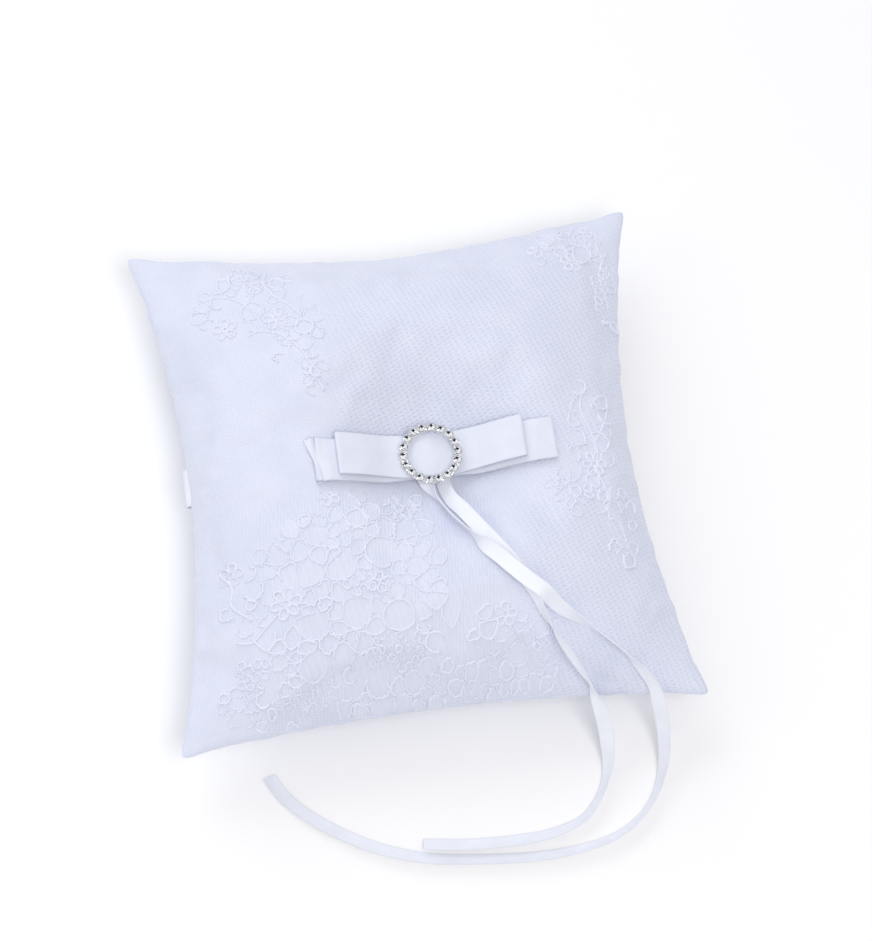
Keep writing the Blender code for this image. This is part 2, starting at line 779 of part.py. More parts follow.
def make_tie(name, route, lace, below, finish):
    """A ribbon on its route, lying on the lace, on the ribbons below it and on the table."""
    rows = read_route(route)
    sides = sides_along(rows)
    tilts = [rest + math.radians(row.w)
             for rest, row in zip(rest_tilts(lace, rows, sides), rows)]
    on_lace = [resting_height(lace, *place) for place in zip(rows, sides, tilts)]
    on_all = [resting_height(below, *place) for place in zip(rows, sides, tilts)]
    lifts = [high - low for high, low in zip(on_all, on_lace)]
    lifts = [max(lifts[max(index - 2, 0):index + 3]) for index in range(len(lifts))]
    heights = [max(row.z, low + lift) for row, low, lift in zip(rows, on_lace, lifts)]

    curve = bpy.data.curves.new(name, "CURVE")
    curve.dimensions = "3D"
    curve.twist_mode = "Z_UP"
    curve.bevel_depth = TIE_THICKNESS / 2
    curve.bevel_resolution = 0
    curve.extrude = (TIE_WIDTH - TIE_THICKNESS) / 2
    curve.use_fill_caps = True
    spline = curve.splines.new("POLY")
    spline.points.add(len(rows) - 1)
    for point, row, height, tilt in zip(spline.points, rows, heights, tilts):
        point.co = (row.x, row.y, height, 1)
        point.tilt = math.pi / 2 + tilt
    return link(name, curve, finish)


def pierce_upper_back(upper, lace):
    """The thread passes only the upper loop's back layer, so its cutter stops above that."""
    cutter = thread_hole_cutter()
    cutter.name = "upper_hole_cutter"
    top = upper_back_top(lace, TUFT_X) + CLEARANCE
    for vertex in cutter.data.vertices:
        if vertex.co.z > 0:
            vertex.co.z = top - cutter.location.z
    boolean(upper, cutter, "DIFFERENCE")


def build():
    clear_scene()
    satin = material("white_satin", WHITE_SATIN, 0.45)
    lace_finish = material("white_lace", WHITE_LACE, 0.8)
    ribbon = material("white_ribbon", WHITE_RIBBON, 0.35)
    fibre = material("white_fibre", WHITE_FIBRE, 0.9)
    silver = material("silver", SILVER, 0.15, 1.0)
    crystal = material("crystal", CRYSTAL, 0.05)

    fill = make_fill(fibre)
    front = panel("front_panel", front_point, FRONT_PANEL_INSET, PANEL_THICKNESS, satin)
    overlay = panel("lace_overlay", front_point, 0, LACE_THICKNESS, lace_finish)
    back = panel("back_panel", back_point, 0, PANEL_THICKNESS, satin)
    bpy.context.view_layer.update()
    lace = surface_of(overlay)

    make_strap(ribbon)
    lower = make_lower_loop(lace, ribbon)
    upper = make_upper_loop(lace, ribbon)
    buckle, cup_top = make_buckle(ring_height(lace), bar_height(lace), silver)
    make_stones(cup_top, crystal)
    make_thread(lace, surface_of(back), fibre)

    short_tie = make_tie("tie_ribbon_short", SHORT_TIE_ROUTE, lace, lace, ribbon)
    bpy.context.view_layer.update()
    make_tie("tie_ribbon_long", LONG_TIE_ROUTE, lace, surface_of(overlay, short_tie), ribbon)

    cutter = thread_hole_cutter()
    for pierced in (fill, front, overlay, back, lower):
        boolean(pierced, cutter, "DIFFERENCE")
    pierce_upper_back(upper, lace)


build()
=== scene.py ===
"""Ring bearer pillow, the finish: satin case and filling, corded lace, ribbon bow, rhinestone
buckle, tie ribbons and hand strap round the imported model. Metres, +Z up, back on Z = 0."""

import math
import random

import bpy
import numpy as np
from mathutils import Matrix, Vector
from mathutils.bvhtree import BVHTree


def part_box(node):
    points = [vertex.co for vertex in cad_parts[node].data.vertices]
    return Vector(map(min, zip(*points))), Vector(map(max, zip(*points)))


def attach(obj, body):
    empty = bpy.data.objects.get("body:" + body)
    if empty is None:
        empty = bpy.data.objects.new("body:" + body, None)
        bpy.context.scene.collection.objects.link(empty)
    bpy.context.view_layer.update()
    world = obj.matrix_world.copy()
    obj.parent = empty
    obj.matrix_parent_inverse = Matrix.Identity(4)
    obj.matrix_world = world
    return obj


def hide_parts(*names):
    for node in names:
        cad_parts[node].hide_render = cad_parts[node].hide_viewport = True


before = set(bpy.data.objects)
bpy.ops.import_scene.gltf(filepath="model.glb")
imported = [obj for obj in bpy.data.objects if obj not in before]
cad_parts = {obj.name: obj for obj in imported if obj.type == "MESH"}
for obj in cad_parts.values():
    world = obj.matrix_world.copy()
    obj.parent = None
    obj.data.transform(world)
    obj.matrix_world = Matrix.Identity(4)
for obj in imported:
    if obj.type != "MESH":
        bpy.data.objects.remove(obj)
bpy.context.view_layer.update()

# ---------------------------------------------------------------------------------------------
# Camera. It looks down on the pillow from over its lower left side, a little turned, through a
# long lens, so that the square stays nearly square.

CAMERA_ELEVATION = math.radians(71.5)
CAMERA_AZIMUTH = math.radians(-22.8)
CAMERA_ROLL = math.radians(15.5)
CAMERA_DISTANCE = 0.932
CAMERA_LENS = 90.0
CAMERA_TARGET = Vector((0.0101, 0.0016, 0.020))


def make_camera():
    """A camera at its distance and angles from the target, rolled about its own line of sight."""
    back = Vector((
        math.sin(CAMERA_AZIMUTH) * math.cos(CAMERA_ELEVATION),
        -math.cos(CAMERA_AZIMUTH) * math.cos(CAMERA_ELEVATION),
        math.sin(CAMERA_ELEVATION),
    ))
    level = Vector((math.cos(CAMERA_AZIMUTH), math.sin(CAMERA_AZIMUTH), 0))
    raised = back.cross(level)
    right = level * math.cos(CAMERA_ROLL) + raised * math.sin(CAMERA_ROLL)
    up = raised * math.cos(CAMERA_ROLL) - level * math.sin(CAMERA_ROLL)
    lens = bpy.data.cameras.new("camera")
    lens.lens = CAMERA_LENS
    made = bpy.data.objects.new("camera", lens)
    bpy.context.scene.collection.objects.link(made)
    turn = Matrix((right, up, back)).transposed().to_4x4()
    made.matrix_world = Matrix.Translation(CAMERA_TARGET + back * CAMERA_DISTANCE) @ turn
    bpy.context.scene.camera = made


make_camera()

# ---------------------------------------------------------------------------------------------
# Studio. A white sweep of matt board, a wide soft box from behind the top edge, a smaller one
# over the bottom edge, a low weak one at the left, and an even white room.

FLOOR_HALF = 1.6
FLOOR_STEPS = 24
BOARD_GRAIN = 900  # grains to a metre
BOARD_WHITE = (0.94, 0.935, 0.935, 1)
ROOM_WHITE = (0.955, 0.965, 1.0, 1)
ROOM_STRENGTH = 0.65
KEY_PLACE = (-0.45, 1.2, 1.0)
KEY_SIZE = 1.3
KEY_POWER = 7.5
KEY_WHITE = (0.93, 0.96, 1.0)
FILL_PLACE = (0.12, -0.45, 1.22)
FILL_SIZE = 0.6
FILL_POWER = 5.45
FILL_WHITE = (1.0, 0.975, 0.93)
SIDE_PLACE = (-1.2, 0.1, 0.75)
SIDE_SIZE = 0.7
SIDE_POWER = 1.5


def new_material(name, colour, roughness, metallic=0.0, sheen=0.0):
    made = bpy.data.materials.new(name)
    made.use_nodes = True
    shader = made.node_tree.nodes["Principled BSDF"]
    shader.inputs["Base Color"].default_value = colour
    shader.inputs["Roughness"].default_value = roughness
    shader.inputs["Metallic"].default_value = metallic
    shader.inputs["Sheen Weight"].default_value = sheen
    return made, made.node_tree.nodes, made.node_tree.links, shader


def link_mesh(name, points, faces, material=None, smooth=True):
    mesh = bpy.data.meshes.new(name)
    mesh.from_pydata([tuple(point) for point in points], [], faces)
    mesh.validate()
    if smooth:
        mesh.shade_smooth()
    if material:
        mesh.materials.append(material)
    made = bpy.data.objects.new(name, mesh)
    bpy.context.scene.collection.objects.link(made)
    return made


def grid_faces(count):
    """The faces of a square grid of points with this many cells along each side."""
    row = count + 1
    return [(i * row + j, i * row + j + 1, (i + 1) * row + j + 1, (i + 1) * row + j)
            for i in range(count) for j in range(count)]


def make_floor():
    finish, nodes, links, shader = new_material("matt_board", BOARD_WHITE, 0.85)
    grain = nodes.new("ShaderNodeTexNoise")
    grain.inputs["Scale"].default_value = BOARD_GRAIN
    bump = nodes.new("ShaderNodeBump")
    bump.inputs["Strength"].default_value = 0.04
    bump.inputs["Distance"].default_value = 0.0002
    links.new(grain.outputs["Fac"], bump.inputs["Height"])
    links.new(bump.outputs["Normal"], shader.inputs["Normal"])
    steps = np.linspace(-FLOOR_HALF, FLOOR_HALF, FLOOR_STEPS + 1)
    points = [(x, y, 0.0) for y in steps for x in steps]
    link_mesh("floor", points, grid_faces(FLOOR_STEPS), finish)


def soft_box(name, place, size, power, colour):
    light = bpy.data.lights.new(name, "AREA")
    light.shape = "DISK"
    light.size = size
    light.energy = power
    light.color = colour
    made = bpy.data.objects.new(name, light)
    made.location = place
    made.rotation_euler = (-Vector(place)).to_track_quat("-Z", "Y").to_euler()
    bpy.context.scene.collection.objects.link(made)


make_floor()
soft_box("key_box", KEY_PLACE, KEY_SIZE, KEY_POWER, KEY_WHITE)
soft_box("fill_box", FILL_PLACE, FILL_SIZE, FILL_POWER, FILL_WHITE)
soft_box("side_box", SIDE_PLACE, SIDE_SIZE, SIDE_POWER, KEY_WHITE)
room = bpy.data.worlds.new("room")
room.use_nodes = True
room.node_tree.nodes["Background"].inputs["Color"].default_value = ROOM_WHITE
room.node_tree.nodes["Background"].inputs["Strength"].default_value = ROOM_STRENGTH
bpy.context.scene.world = room
bpy.context.scene.view_settings.view_transform = "Standard"

# ---------------------------------------------------------------------------------------------
# Satin case. Two squares of white polyester satin, sewn face to face along all four sides, turned
# and stuffed. The filling draws the sides in between the corners, and a stitch pulls the middle
# of the front down. It is cut and shaped here, then a cloth simulation lets the filling press it.

lace_low, lace_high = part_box("lace_overlay")
thread_low, thread_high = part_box("tuft_thread")
strap_low, strap_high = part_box("hand_strap")
back_panel_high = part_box("back_panel")[1]

CORNER_ROUND = 0.0012
HALF_SIDE = (lace_high.x - lace_low.x) / 2 + CORNER_ROUND
SEAM_HEIGHT = back_panel_high.z
SIDE_PULL_IN = 0.0136  # how far the filling draws in the middle of the left and right sides
TOP_PULL_IN = 0.0105
BOTTOM_PULL_IN = 0.0060
PULL_IN_POWER = 1.8
TOP_PULL_IN_POWER = 1.35  # the top side is drawn in to more of a point at its middle
CORNER_REACH = 0.17  # as a share of the half side
CORNER_SWELL = 0.0017  # how far the filling, pushed into the corners, drives them out
TIP_REACH = 0.055  # as a share of the half side
CORNER_BLUNT = 0.0016  # how much of a corner's point is lost in turning the case
FRONT_CROWN = 0.0365
BACK_CROWN = 0.034
FULLNESS = 0.62
TUFT = Vector((thread_low.x + thread_high.x, thread_low.y + thread_high.y)) / 2
TUFT_DEPTH = 0.0195
TUFT_FLAT_RADIUS = 0.010
TUFT_SPREAD = 0.026
BACK_TUFT_DEPTH = 0.0035
BACK_TUFT_SPREAD = 0.009
STRAP_MIDDLE_Y = (strap_low.y + strap_high.y) / 2
GROOVE_MARGIN = 0.0008
GROOVE_HALF = (strap_high.y - strap_low.y) / 2 + GROOVE_MARGIN
GROOVE_DEPTH = 0.0008
GROOVE_SHOULDER = 0.004
BACK_REST_HEIGHT = 0.0002
CASE_INSET = 0.0003  # the satin lies this far inside the lace
CASE_CELLS = 72
EDGE_CROWDING = 0.35  # how much closer the cloth's cells lie at the seam

CLOTH_SETTINGS = {
    "quality": 6,
    "mass": 0.2,
    "tension_stiffness": 14,
    "compression_stiffness": 14,
    "shear_stiffness": 4,
    "bending_stiffness": 0.15,
    "use_pressure": True,
    "uniform_pressure_force": 4.0,
    "shrink_min": -0.035,
}
SIMULATED_FRAMES = 20
MOST_OUT = 0.0022
MOST_IN = 0.0006
BOW_ZONE = (0.055, 0.012)  # half lengths of the patch under the bow that stays as cut
BOW_ZONE_EASE = 0.014
HELD_UNDER = 0.02  # the cloth is held where it is less free than this
UNDERSIDE = -0.1  # the cloth whose normal points down by more than this is the back's
UPSIDE = 0.2  # and up by more than this is the front's
TABLE_REACH = 0.0025  # the back's cloth below this height lies pressed on the table
BACK_FREE = (0.001, 0.007)  # the heights between which the back's cloth comes free of the table
SEAM_FREE = (0.0005, 0.0045)  # how far above or below the seam the cloth comes free of it
SEAM_WIDTH = 0.0004
PUCKER = 0.00042
PUCKER_REACH = 0.007
PUCKER_LENGTHS = (0.007, 0.019)
PUCKER_FROM_CORNER = 0.02
GATHER = 0.00050
GATHER_START = (0.012, 0.022)  # from no gather to full gather, away from the tuft
GATHER_END = (0.030, 0.056)  # and back to none
GATHER_FOLDS = ((7, 1.0, 0.6), (11, 0.8, 2.1), (17, 0.6, 4.0))  # how many, how high, the turn
SATIN_WHITE = (0.715, 0.755, 0.905, 1)


def smoothstep(share):
    share = np.clip(share, 0.0, 1.0)
    return share * share * (3 - 2 * share)


def between(value, ends):
    """How far value has gone from the first end to the second, eased."""
    return smoothstep((value - ends[0]) / (ends[1] - ends[0]))


def outline(u, v, inset):
    """Where the point (u, v) of a square from -1 to 1 lies when the sides are drawn in."""
    half = HALF_SIDE - inset
    end = (TOP_PULL_IN + BOTTOM_PULL_IN + (TOP_PULL_IN - BOTTOM_PULL_IN) * v) / 2
    x = u * (half - SIDE_PULL_IN * (1 - np.abs(v) ** PULL_IN_POWER))
    power = PULL_IN_POWER + (TOP_PULL_IN_POWER - PULL_IN_POWER) * (1 + v) / 2
    y = v * (half - end * (1 - np.abs(u) ** power))
    to_corner = 2 - np.abs(u) - np.abs(v)
    swell = CORNER_SWELL * smoothstep(1 - to_corner / CORNER_REACH)
    blunt = CORNER_BLUNT * np.clip(1 - to_corner / TIP_REACH, 0, 1) ** 2
    return x + np.sign(u) * (swell - blunt), y + np.sign(v) * (swell - blunt)


def waves(along, shortest, longest, seed):
    """An uneven wave between about -1 and 1, the same on each run."""
    draw = random.Random(seed)
    total = 0.0
    for _ in range(6):
        length = shortest + (longest - shortest) * draw.random()
        total = total + np.sin(math.tau * (along / length + draw.random()))
    return total / 2.6


def case_sheet(u, v, side):
    """Points of the front (side 1) or the back (side -1), as cut and stuffed."""
    x, y = outline(u, v, CASE_INSET)
    full = np.maximum(0.0, (1 - u * u) * (1 - v * v)) ** FULLNESS
    away = np.hypot(x - TUFT.x, y - TUFT.y)
    if side > 0:
        rise = (FRONT_CROWN - CASE_INSET) * full
        reach = np.maximum(0.0, away - TUFT_FLAT_RADIUS)
        dimple = TUFT_DEPTH * np.exp(-((reach / TUFT_SPREAD) ** 2))
        z = SEAM_HEIGHT + rise - dimple * np.minimum(1.0, rise / TUFT_DEPTH)
    else:
        beside = np.abs(y - STRAP_MIDDLE_Y) - GROOVE_HALF
        groove = GROOVE_DEPTH * (1 - smoothstep(beside / GROOVE_SHOULDER))
        z = np.maximum(SEAM_HEIGHT - (BACK_CROWN - CASE_INSET) * full, BACK_REST_HEIGHT + groove)
        z = z + BACK_TUFT_DEPTH * np.exp(-((away / BACK_TUFT_SPREAD) ** 2))
    return np.stack([x, y, z], -1)


def points_of(made):
    points = np.zeros(len(made.data.vertices) * 3)
    made.data.vertices.foreach_get("co", points)
    return points.reshape(-1, 3)


def normals_of(made):
    normals = np.zeros(len(made.data.vertices) * 3)
    made.data.vertices.foreach_get("normal", normals)
    return normals.reshape(-1, 3)


def set_points(made, points):
    made.data.vertices.foreach_set("co", points.ravel())
    made.data.update()


def cut_case(finish):
    """Front and back as one closed mesh that shares the seam's points."""
    share = np.linspace(-1, 1, CASE_CELLS + 1)
    stations = (1 - EDGE_CROWDING) * share + EDGE_CROWDING * np.sin(share * math.pi / 2)
    u, v = np.meshgrid(stations, stations)
    front = case_sheet(u, v, 1).reshape(-1, 3)
    back = case_sheet(u, v, -1).reshape(-1, 3)
    count = len(front)
    rim = ((np.abs(u) == 1) | (np.abs(v) == 1)).ravel()
    number = np.full(count, -1)
    number[~rim] = count + np.arange((~rim).sum())
    number[rim] = np.nonzero(rim)[0]
    faces = grid_faces(CASE_CELLS)
    faces += [tuple(int(number[index]) for index in face[::-1]) for face in grid_faces(CASE_CELLS)]
    return link_mesh("satin_case", np.concatenate([front, back[~rim]]), faces, finish)


def press_out(made, held):
    """The cloth's points after the filling has pressed against them for some frames."""
    group = made.vertex_groups.new(name="held")
    group.add([int(index) for index in np.nonzero(held)[0]], 1.0, "REPLACE")
    cloth = made.modifiers.new("Cloth", "CLOTH")
    for name, value in CLOTH_SETTINGS.items():
        setattr(cloth.settings, name, value)
    cloth.settings.vertex_group_mass = "held"
    cloth.settings.effector_weights.gravity = 0
    cloth.collision_settings.use_collision = False
    scene = bpy.context.scene
    for step in range(1, SIMULATED_FRAMES + 1):
        scene.frame_set(step)
    shape = made.evaluated_get(bpy.context.evaluated_depsgraph_get())
    pressed = np.array([vertex.co for vertex in shape.data.vertices])
    made.modifiers.remove(cloth)
    scene.frame_set(1)
    made.vertex_groups.clear()
    return pressed


def shape_case(made):
    """Simulation, then the puckers along the seam and the gathers round the tuft."""
    points = points_of(made)
    normals = normals_of(made)
    x, y, z = points.T
    to_bow = np.maximum(np.abs(x - TUFT.x) - BOW_ZONE[0], np.abs(y - TUFT.y) - BOW_ZONE[1])
    free = smoothstep(to_bow / BOW_ZONE_EASE)
    on_table = (z < TABLE_REACH) & (normals[:, 2] < 0)
    back = normals[:, 2] < UNDERSIDE
    free = np.where(back, between(z, BACK_FREE), free)
    loose = between(np.abs(z - SEAM_HEIGHT), SEAM_FREE)
    held = (free * loose < HELD_UNDER) | on_table
    moved = press_out(made, held) - points
    out = (moved * normals).sum(1)
    limited = np.clip(out, -MOST_IN, MOST_OUT) * free * loose
    points = points + normals * limited[:, None]
    across = np.exp(-np.abs(z - SEAM_HEIGHT) / PUCKER_REACH)
    by_side = np.abs(x) / HALF_SIDE > np.abs(y) / HALF_SIDE
    run = np.where(by_side, y, x)
    first = np.where(by_side, np.sign(x), 3 * np.sign(y))
    pucker = sum(np.where(first == key, waves(run, *PUCKER_LENGTHS, seed), 0.0)
                 for key, seed in ((1, 11), (-1, 12), (3, 13), (-3, 14)))
    corner = smoothstep((HALF_SIDE - np.minimum(np.abs(x), np.abs(y))) / PUCKER_FROM_CORNER)
    points = points + normals * (PUCKER * pucker * across * corner * (~on_table))[:, None]
    away = np.hypot(x - TUFT.x, y - TUFT.y)
    turn = np.arctan2(y - TUFT.y, x - TUFT.x)
    ring = between(away, GATHER_START) * (1 - between(away, GATHER_END))
    fold = sum(height * np.sin(count * turn + start) for count, height, start in GATHER_FOLDS)
    lift = GATHER * fold / 1.6 * ring * free * (normals[:, 2] > UPSIDE)
    set_points(made, points + normals * lift[:, None])


def subdivide(made, levels):
    divided = made.modifiers.new("Subdivision", "SUBSURF")
    divided.levels = levels
    divided.render_levels = levels
    made.data = bpy.data.meshes.new_from_object(
        made.evaluated_get(bpy.context.evaluated_depsgraph_get()))
    made.modifiers.clear()
    made.data.shade_smooth()


def millimetres(nodes, links, turn=(0, 0, 0), stretch=(1, 1, 1)):
    """Object coordinates in millimetres, turned and stretched."""
    place = nodes.new("ShaderNodeTexCoord")
    mapping = nodes.new("ShaderNodeMapping")
    mapping.inputs["Rotation"].default_value = turn
    mapping.inputs["Scale"].default_value = [1000 * share for share in stretch]
    links.new(place.outputs["Object"], mapping.inputs["Vector"])
    return mapping.outputs["Vector"]


def stripes(nodes, links, place, period, distortion=0.0, direction="X"):
    """Smooth bands one period apart, in the units of place."""
    band = nodes.new("ShaderNodeTexWave")
    band.bands_direction = direction
    band.inputs["Scale"].default_value = math.tau / 20 / period
    band.inputs["Distortion"].default_value = distortion
    band.inputs["Detail"].default_value = 1
    links.new(place, band.inputs["Vector"])
    return band.outputs["Fac"]


def noise(nodes, links, place, size, detail=2.0):
    made = nodes.new("ShaderNodeTexNoise")
    made.inputs["Scale"].default_value = 1 / size
    made.inputs["Detail"].default_value = detail
    links.new(place, made.inputs["Vector"])
    return made.outputs["Fac"]


def combine(nodes, links, first, second, operation):
    """One value from two, of which the second may be a plain number."""
    made = nodes.new("ShaderNodeMath")
    made.operation = operation
    links.new(first, made.inputs[0])
    if isinstance(second, (int, float)):
        made.inputs[1].default_value = second
    else:
        links.new(second, made.inputs[1])
    return made.outputs[0]


def ramp(nodes, links, value, low, high, start=0.0, end=1.0):
    """Colours from low to high as value goes from start to end."""
    made = nodes.new("ShaderNodeValToRGB")
    made.color_ramp.elements[0].position = start
    made.color_ramp.elements[0].color = low
    made.color_ramp.elements[1].position = end
    made.color_ramp.elements[1].color = high
    links.new(value, made.inputs["Fac"])
    return made.outputs["Color"]


def tint(colour, share):
    return tuple(channel * share for channel in colour[:3]) + (1,)


def add_bump(nodes, links, shader, layers):
    """Bumps of (height value, strength, depth in metres), one on another."""
    before = None
    for height, strength, depth in layers:
        bump = nodes.new("ShaderNodeBump")
        bump.inputs["Strength"].default_value = strength
        bump.inputs["Distance"].default_value = depth
        links.new(height, bump.inputs["Height"])
        if before:
            links.new(before, bump.inputs["Normal"])
        before = bump.outputs["Normal"]
    links.new(before, shader.inputs["Normal"])


def satin_cloth():
    finish, nodes, links, shader = new_material("case_satin", SATIN_WHITE, 0.42, sheen=0.15)
    place = millimetres(nodes, links)
    drift = noise(nodes, links, place, 22.0)
    links.new(ramp(nodes, links, drift, tint(SATIN_WHITE, 0.95), tint(SATIN_WHITE, 1.03), 0.3, 0.7),
              shader.inputs["Base Color"])
    warp = stripes(nodes, links, place, 0.32, 0.6)
    weft = stripes(nodes, links, place, 0.9, 0.8, "Y")
    slub = noise(nodes, links, millimetres(nodes, links, stretch=(1, 0.06, 1)), 0.5)
    add_bump(nodes, links, shader,
             [(warp, 0.35, 0.00004), (weft, 0.25, 0.00004), (slub, 0.3, 0.0001)])
    return finish


case = cut_case(satin_cloth())
shape_case(case)
subdivide(case, 1)
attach(case, "root")
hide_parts("front_panel", "back_panel")

# ---------------------------------------------------------------------------------------------
# Filling. A loose pad of white polyester fibre, pushed into the corners of the case through a gap
# in the seam that is then slip stitched. It fills the case and isn't seen.

FILLING_INSET = 0.0022
LUMP_LENGTHS = (0.011, 0.035)
LUMP_SHARE = 0.4  # how much deeper it lies at a hollow, as a share of the inset
SEAM_REACH = 0.004  # the height within which it is thinned at the seam
SEAM_THINNING = 0.5
CORNER_SHORT = 0.022  # the share by which the filling ends short of the case's corners
CORNER_START = (0.85, 0.97)  # as shares of the half side
FIBRE_WHITE = (0.90, 0.90, 0.90, 1)


def fibre():
    finish, nodes, links, shader = new_material("polyester_fibre", FIBRE_WHITE, 0.9, sheen=0.3)
    place = millimetres(nodes, links)
    tufts = noise(nodes, links, place, 3.0, 6.0)
    links.new(ramp(nodes, links, tufts, tint(FIBRE_WHITE, 0.85), FIBRE_WHITE, 0.3, 0.7),
              shader.inputs["Base Color"])
    add_bump(nodes, links, shader, [(tufts, 0.7, 0.0008)])
    return finish


def make_filling():
    points = points_of(case)
    normals = normals_of(case)
    lumps = 0.5 + 0.25 * (waves(points[:, 0] + points[:, 2], *LUMP_LENGTHS, 31)
                          + waves(points[:, 1] - points[:, 2], *LUMP_LENGTHS, 32)) / 2
    depth = FILLING_INSET * (1 + LUMP_SHARE * lumps)
    inner = points - normals * depth[:, None]
    seam = np.abs(points[:, 2] - SEAM_HEIGHT) < SEAM_REACH
    inner[seam, 2] = SEAM_HEIGHT + (inner[seam, 2] - SEAM_HEIGHT) * SEAM_THINNING
    out = np.minimum(np.abs(points[:, 0]), np.abs(points[:, 1])) / HALF_SIDE
    inner[:, :2] *= 1 - CORNER_SHORT * between(out, CORNER_START)[:, None]
    faces = [tuple(face.vertices) for face in case.data.polygons]
    return link_mesh("fibre_filling", inner, faces, fibre())


filling = make_filling()
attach(filling, "root")
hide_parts("cushion_fill")

# ---------------------------------------------------------------------------------------------
# Lace net. A square of fine tulle, ribbed in places, laid over the front and caught in the seam.
# The motifs worked on it are closer cloth inside raised cords.

NET_LIFT = 0.00035
NET_WHITE = (0.735, 0.765, 0.890, 1)
# The colour of the net's holes: the mesh pattern, with painted shade in the holes.
NET_HOLE_PAINTED_SHADE = (0.680, 0.710, 0.840, 1)
RIB_SHADE = (0.93, 0.935, 0.95, 1)
MOTIF_WHITE = (0.715, 0.745, 0.870, 1)
DRIFT_SHADE = (0.955, 0.96, 0.97, 1)
WHITE = (1, 1, 1, 1)
BLACK = (0, 0, 0, 1)


def front_faces(made):
    """The points used by the front of a closed case, and its faces numbered by them."""
    normals = normals_of(made)
    points = points_of(made)
    kept = []
    for face in made.data.polygons:
        corners = list(face.vertices)
        faces_up = normals[corners, 2].mean() > 0
        if faces_up and points[corners, 2].mean() > SEAM_HEIGHT - SEAM_WIDTH:
            kept.append(tuple(corners))
    used = sorted({index for face in kept for index in face})
    number = {index: count for count, index in enumerate(used)}
    return used, [tuple(number[index] for index in face) for face in kept]


def marked(nodes, name):
    """The value that the mesh holds at each point under this name."""
    made = nodes.new("ShaderNodeAttribute")
    made.attribute_name = name
    return made.outputs["Fac"]


def mixed(nodes, links, factor, first, second, blend="MIX"):
    """A mix of two colours; each input is a socket to link or a constant."""
    made = nodes.new("ShaderNodeMix")
    made.data_type = "RGBA"
    made.blend_type = blend
    for name, value in (("Factor", factor), ("A", first), ("B", second)):
        if isinstance(value, bpy.types.NodeSocket):
            links.new(value, made.inputs[name])
        else:
            made.inputs[name].default_value = value
    return made.outputs["Result"]


def ribs_along(nodes, links, degrees, period, distortion):
    """Ribs a period apart in millimetres, turned in the plane of the net."""
    place = millimetres(nodes, links, (0, 0, math.radians(degrees)))
    return stripes(nodes, links, place, period, distortion)


def net_cloth():
    finish, nodes, links, shader = new_material("lace_net", NET_WHITE, 0.62, sheen=0.25)
    place = millimetres(nodes, links)
    holes = nodes.new("ShaderNodeTexVoronoi")
    holes.voronoi_dimensions = "2D"
    holes.feature = "DISTANCE_TO_EDGE"
    holes.inputs["Scale"].default_value = 1.15
    holes.inputs["Randomness"].default_value = 0.45
    links.new(place, holes.inputs["Vector"])
    thread = ramp(nodes, links, holes.outputs["Distance"], WHITE, BLACK, 0.08, 0.30)
    rows = ribs_along(nodes, links, 62, 1.5, 1.8)
    dashes = ribs_along(nodes, links, -20, 2.2, 3.0)
    slant = combine(nodes, links, rows, dashes, "MULTIPLY")
    upright = ribs_along(nodes, links, 6, 1.3, 1.6)
    slant_ribs = combine(nodes, links, slant, marked(nodes, "slanting_ribs"), "MULTIPLY")
    upright_ribs = combine(nodes, links, upright, marked(nodes, "upright_ribs"), "MULTIPLY")
    ribs = combine(nodes, links, slant_ribs, upright_ribs, "ADD")
    drift = ramp(nodes, links, noise(nodes, links, place, 14.0, 3.0), DRIFT_SHADE, WHITE, 0.35, 0.65)
    # The tulle's holes take the darker colour: the mesh pattern, with painted shade in the holes.
    cloth = mixed(nodes, links, thread, NET_HOLE_PAINTED_SHADE, NET_WHITE)
    ribbed = mixed(nodes, links, ribs, cloth, RIB_SHADE, "MULTIPLY")
    worked = mixed(nodes, links, marked(nodes, "motif"), ribbed, MOTIF_WHITE)
    links.new(mixed(nodes, links, 1.0, worked, drift, "MULTIPLY"), shader.inputs["Base Color"])
    add_bump(nodes, links, shader, [(thread, 0.5, 0.00014), (ribs, 0.7, 0.00022)])
    return finish


used_points, net_faces = front_faces(case)
case_points = points_of(case)[used_points]
case_normals = normals_of(case)[used_points]
net = link_mesh("lace_net", case_points + case_normals * NET_LIFT, net_faces, net_cloth())
net_rest = points_of(net)
net_tree = BVHTree.FromPolygons([Vector(point) for point in net_rest], net_faces)
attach(net, "root")
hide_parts("lace_overlay")

# ---------------------------------------------------------------------------------------------
# Lace motifs. Scalloped petals, stems and small rings drawn on the net in a matt rayon cord and
# stitched down along their length. The lower left of the front is filled with them, and
# sprays of them stand in the other corners and along the right side.

MM = 0.001
CORD_HALF_WIDTH = 0.00048
CORD_HEIGHT = 0.00062
CORD_STEP = 0.0007
SHORTEST_RUN = 3  # a stretch of no more points than this is left out
CORD_WHITE = (0.775, 0.80, 0.91, 1)
HIGH = 0.2  # above everything, where a ray down starts
DOWN = Vector((0, 0, -1))

# The motifs are drawn in millimetres from the pillow's centre, and so are all lengths from here
# to the flowers.
SCALLOP = 2.2  # from one scallop to the next
SCALLOP_DEPTH = 1.1
OPEN_SHARE = 0.5  # of the petals, whose outline isn't closed
LARGE_PETAL_SIZE = 0.92
LARGE_PETAL_STRETCH = 1.45
LARGE_PETAL_DEGREES = (50, 30)  # the least, and how much more at most
PETAL_SIZES = (0.62, 0.5)  # shares of a field's petal radius: the least, and how much more at most
FIELD_ENDS = (0.88, 0.2)  # how far out a field's petals go: the least, and how much more at most
OUTLINE_STEP = 0.7
PETAL_TRIES = 60  # places tried in a field for as many petals as fit
PETAL_CROWDING = 0.88  # how close neighbours may lie, as a share of both radii
MESH_TRIES = 40
MESH_CROWDING = 0.86
CELL_REACH = 1.45  # how far a petal's outline could go without neighbours, in radii
CORD_ROOM = 0.28  # left at each outline for the cord
BOW_CLEAR = (53, 11)  # half sizes of the patch under the bow without motifs
SEAM_CLEAR = 1.2
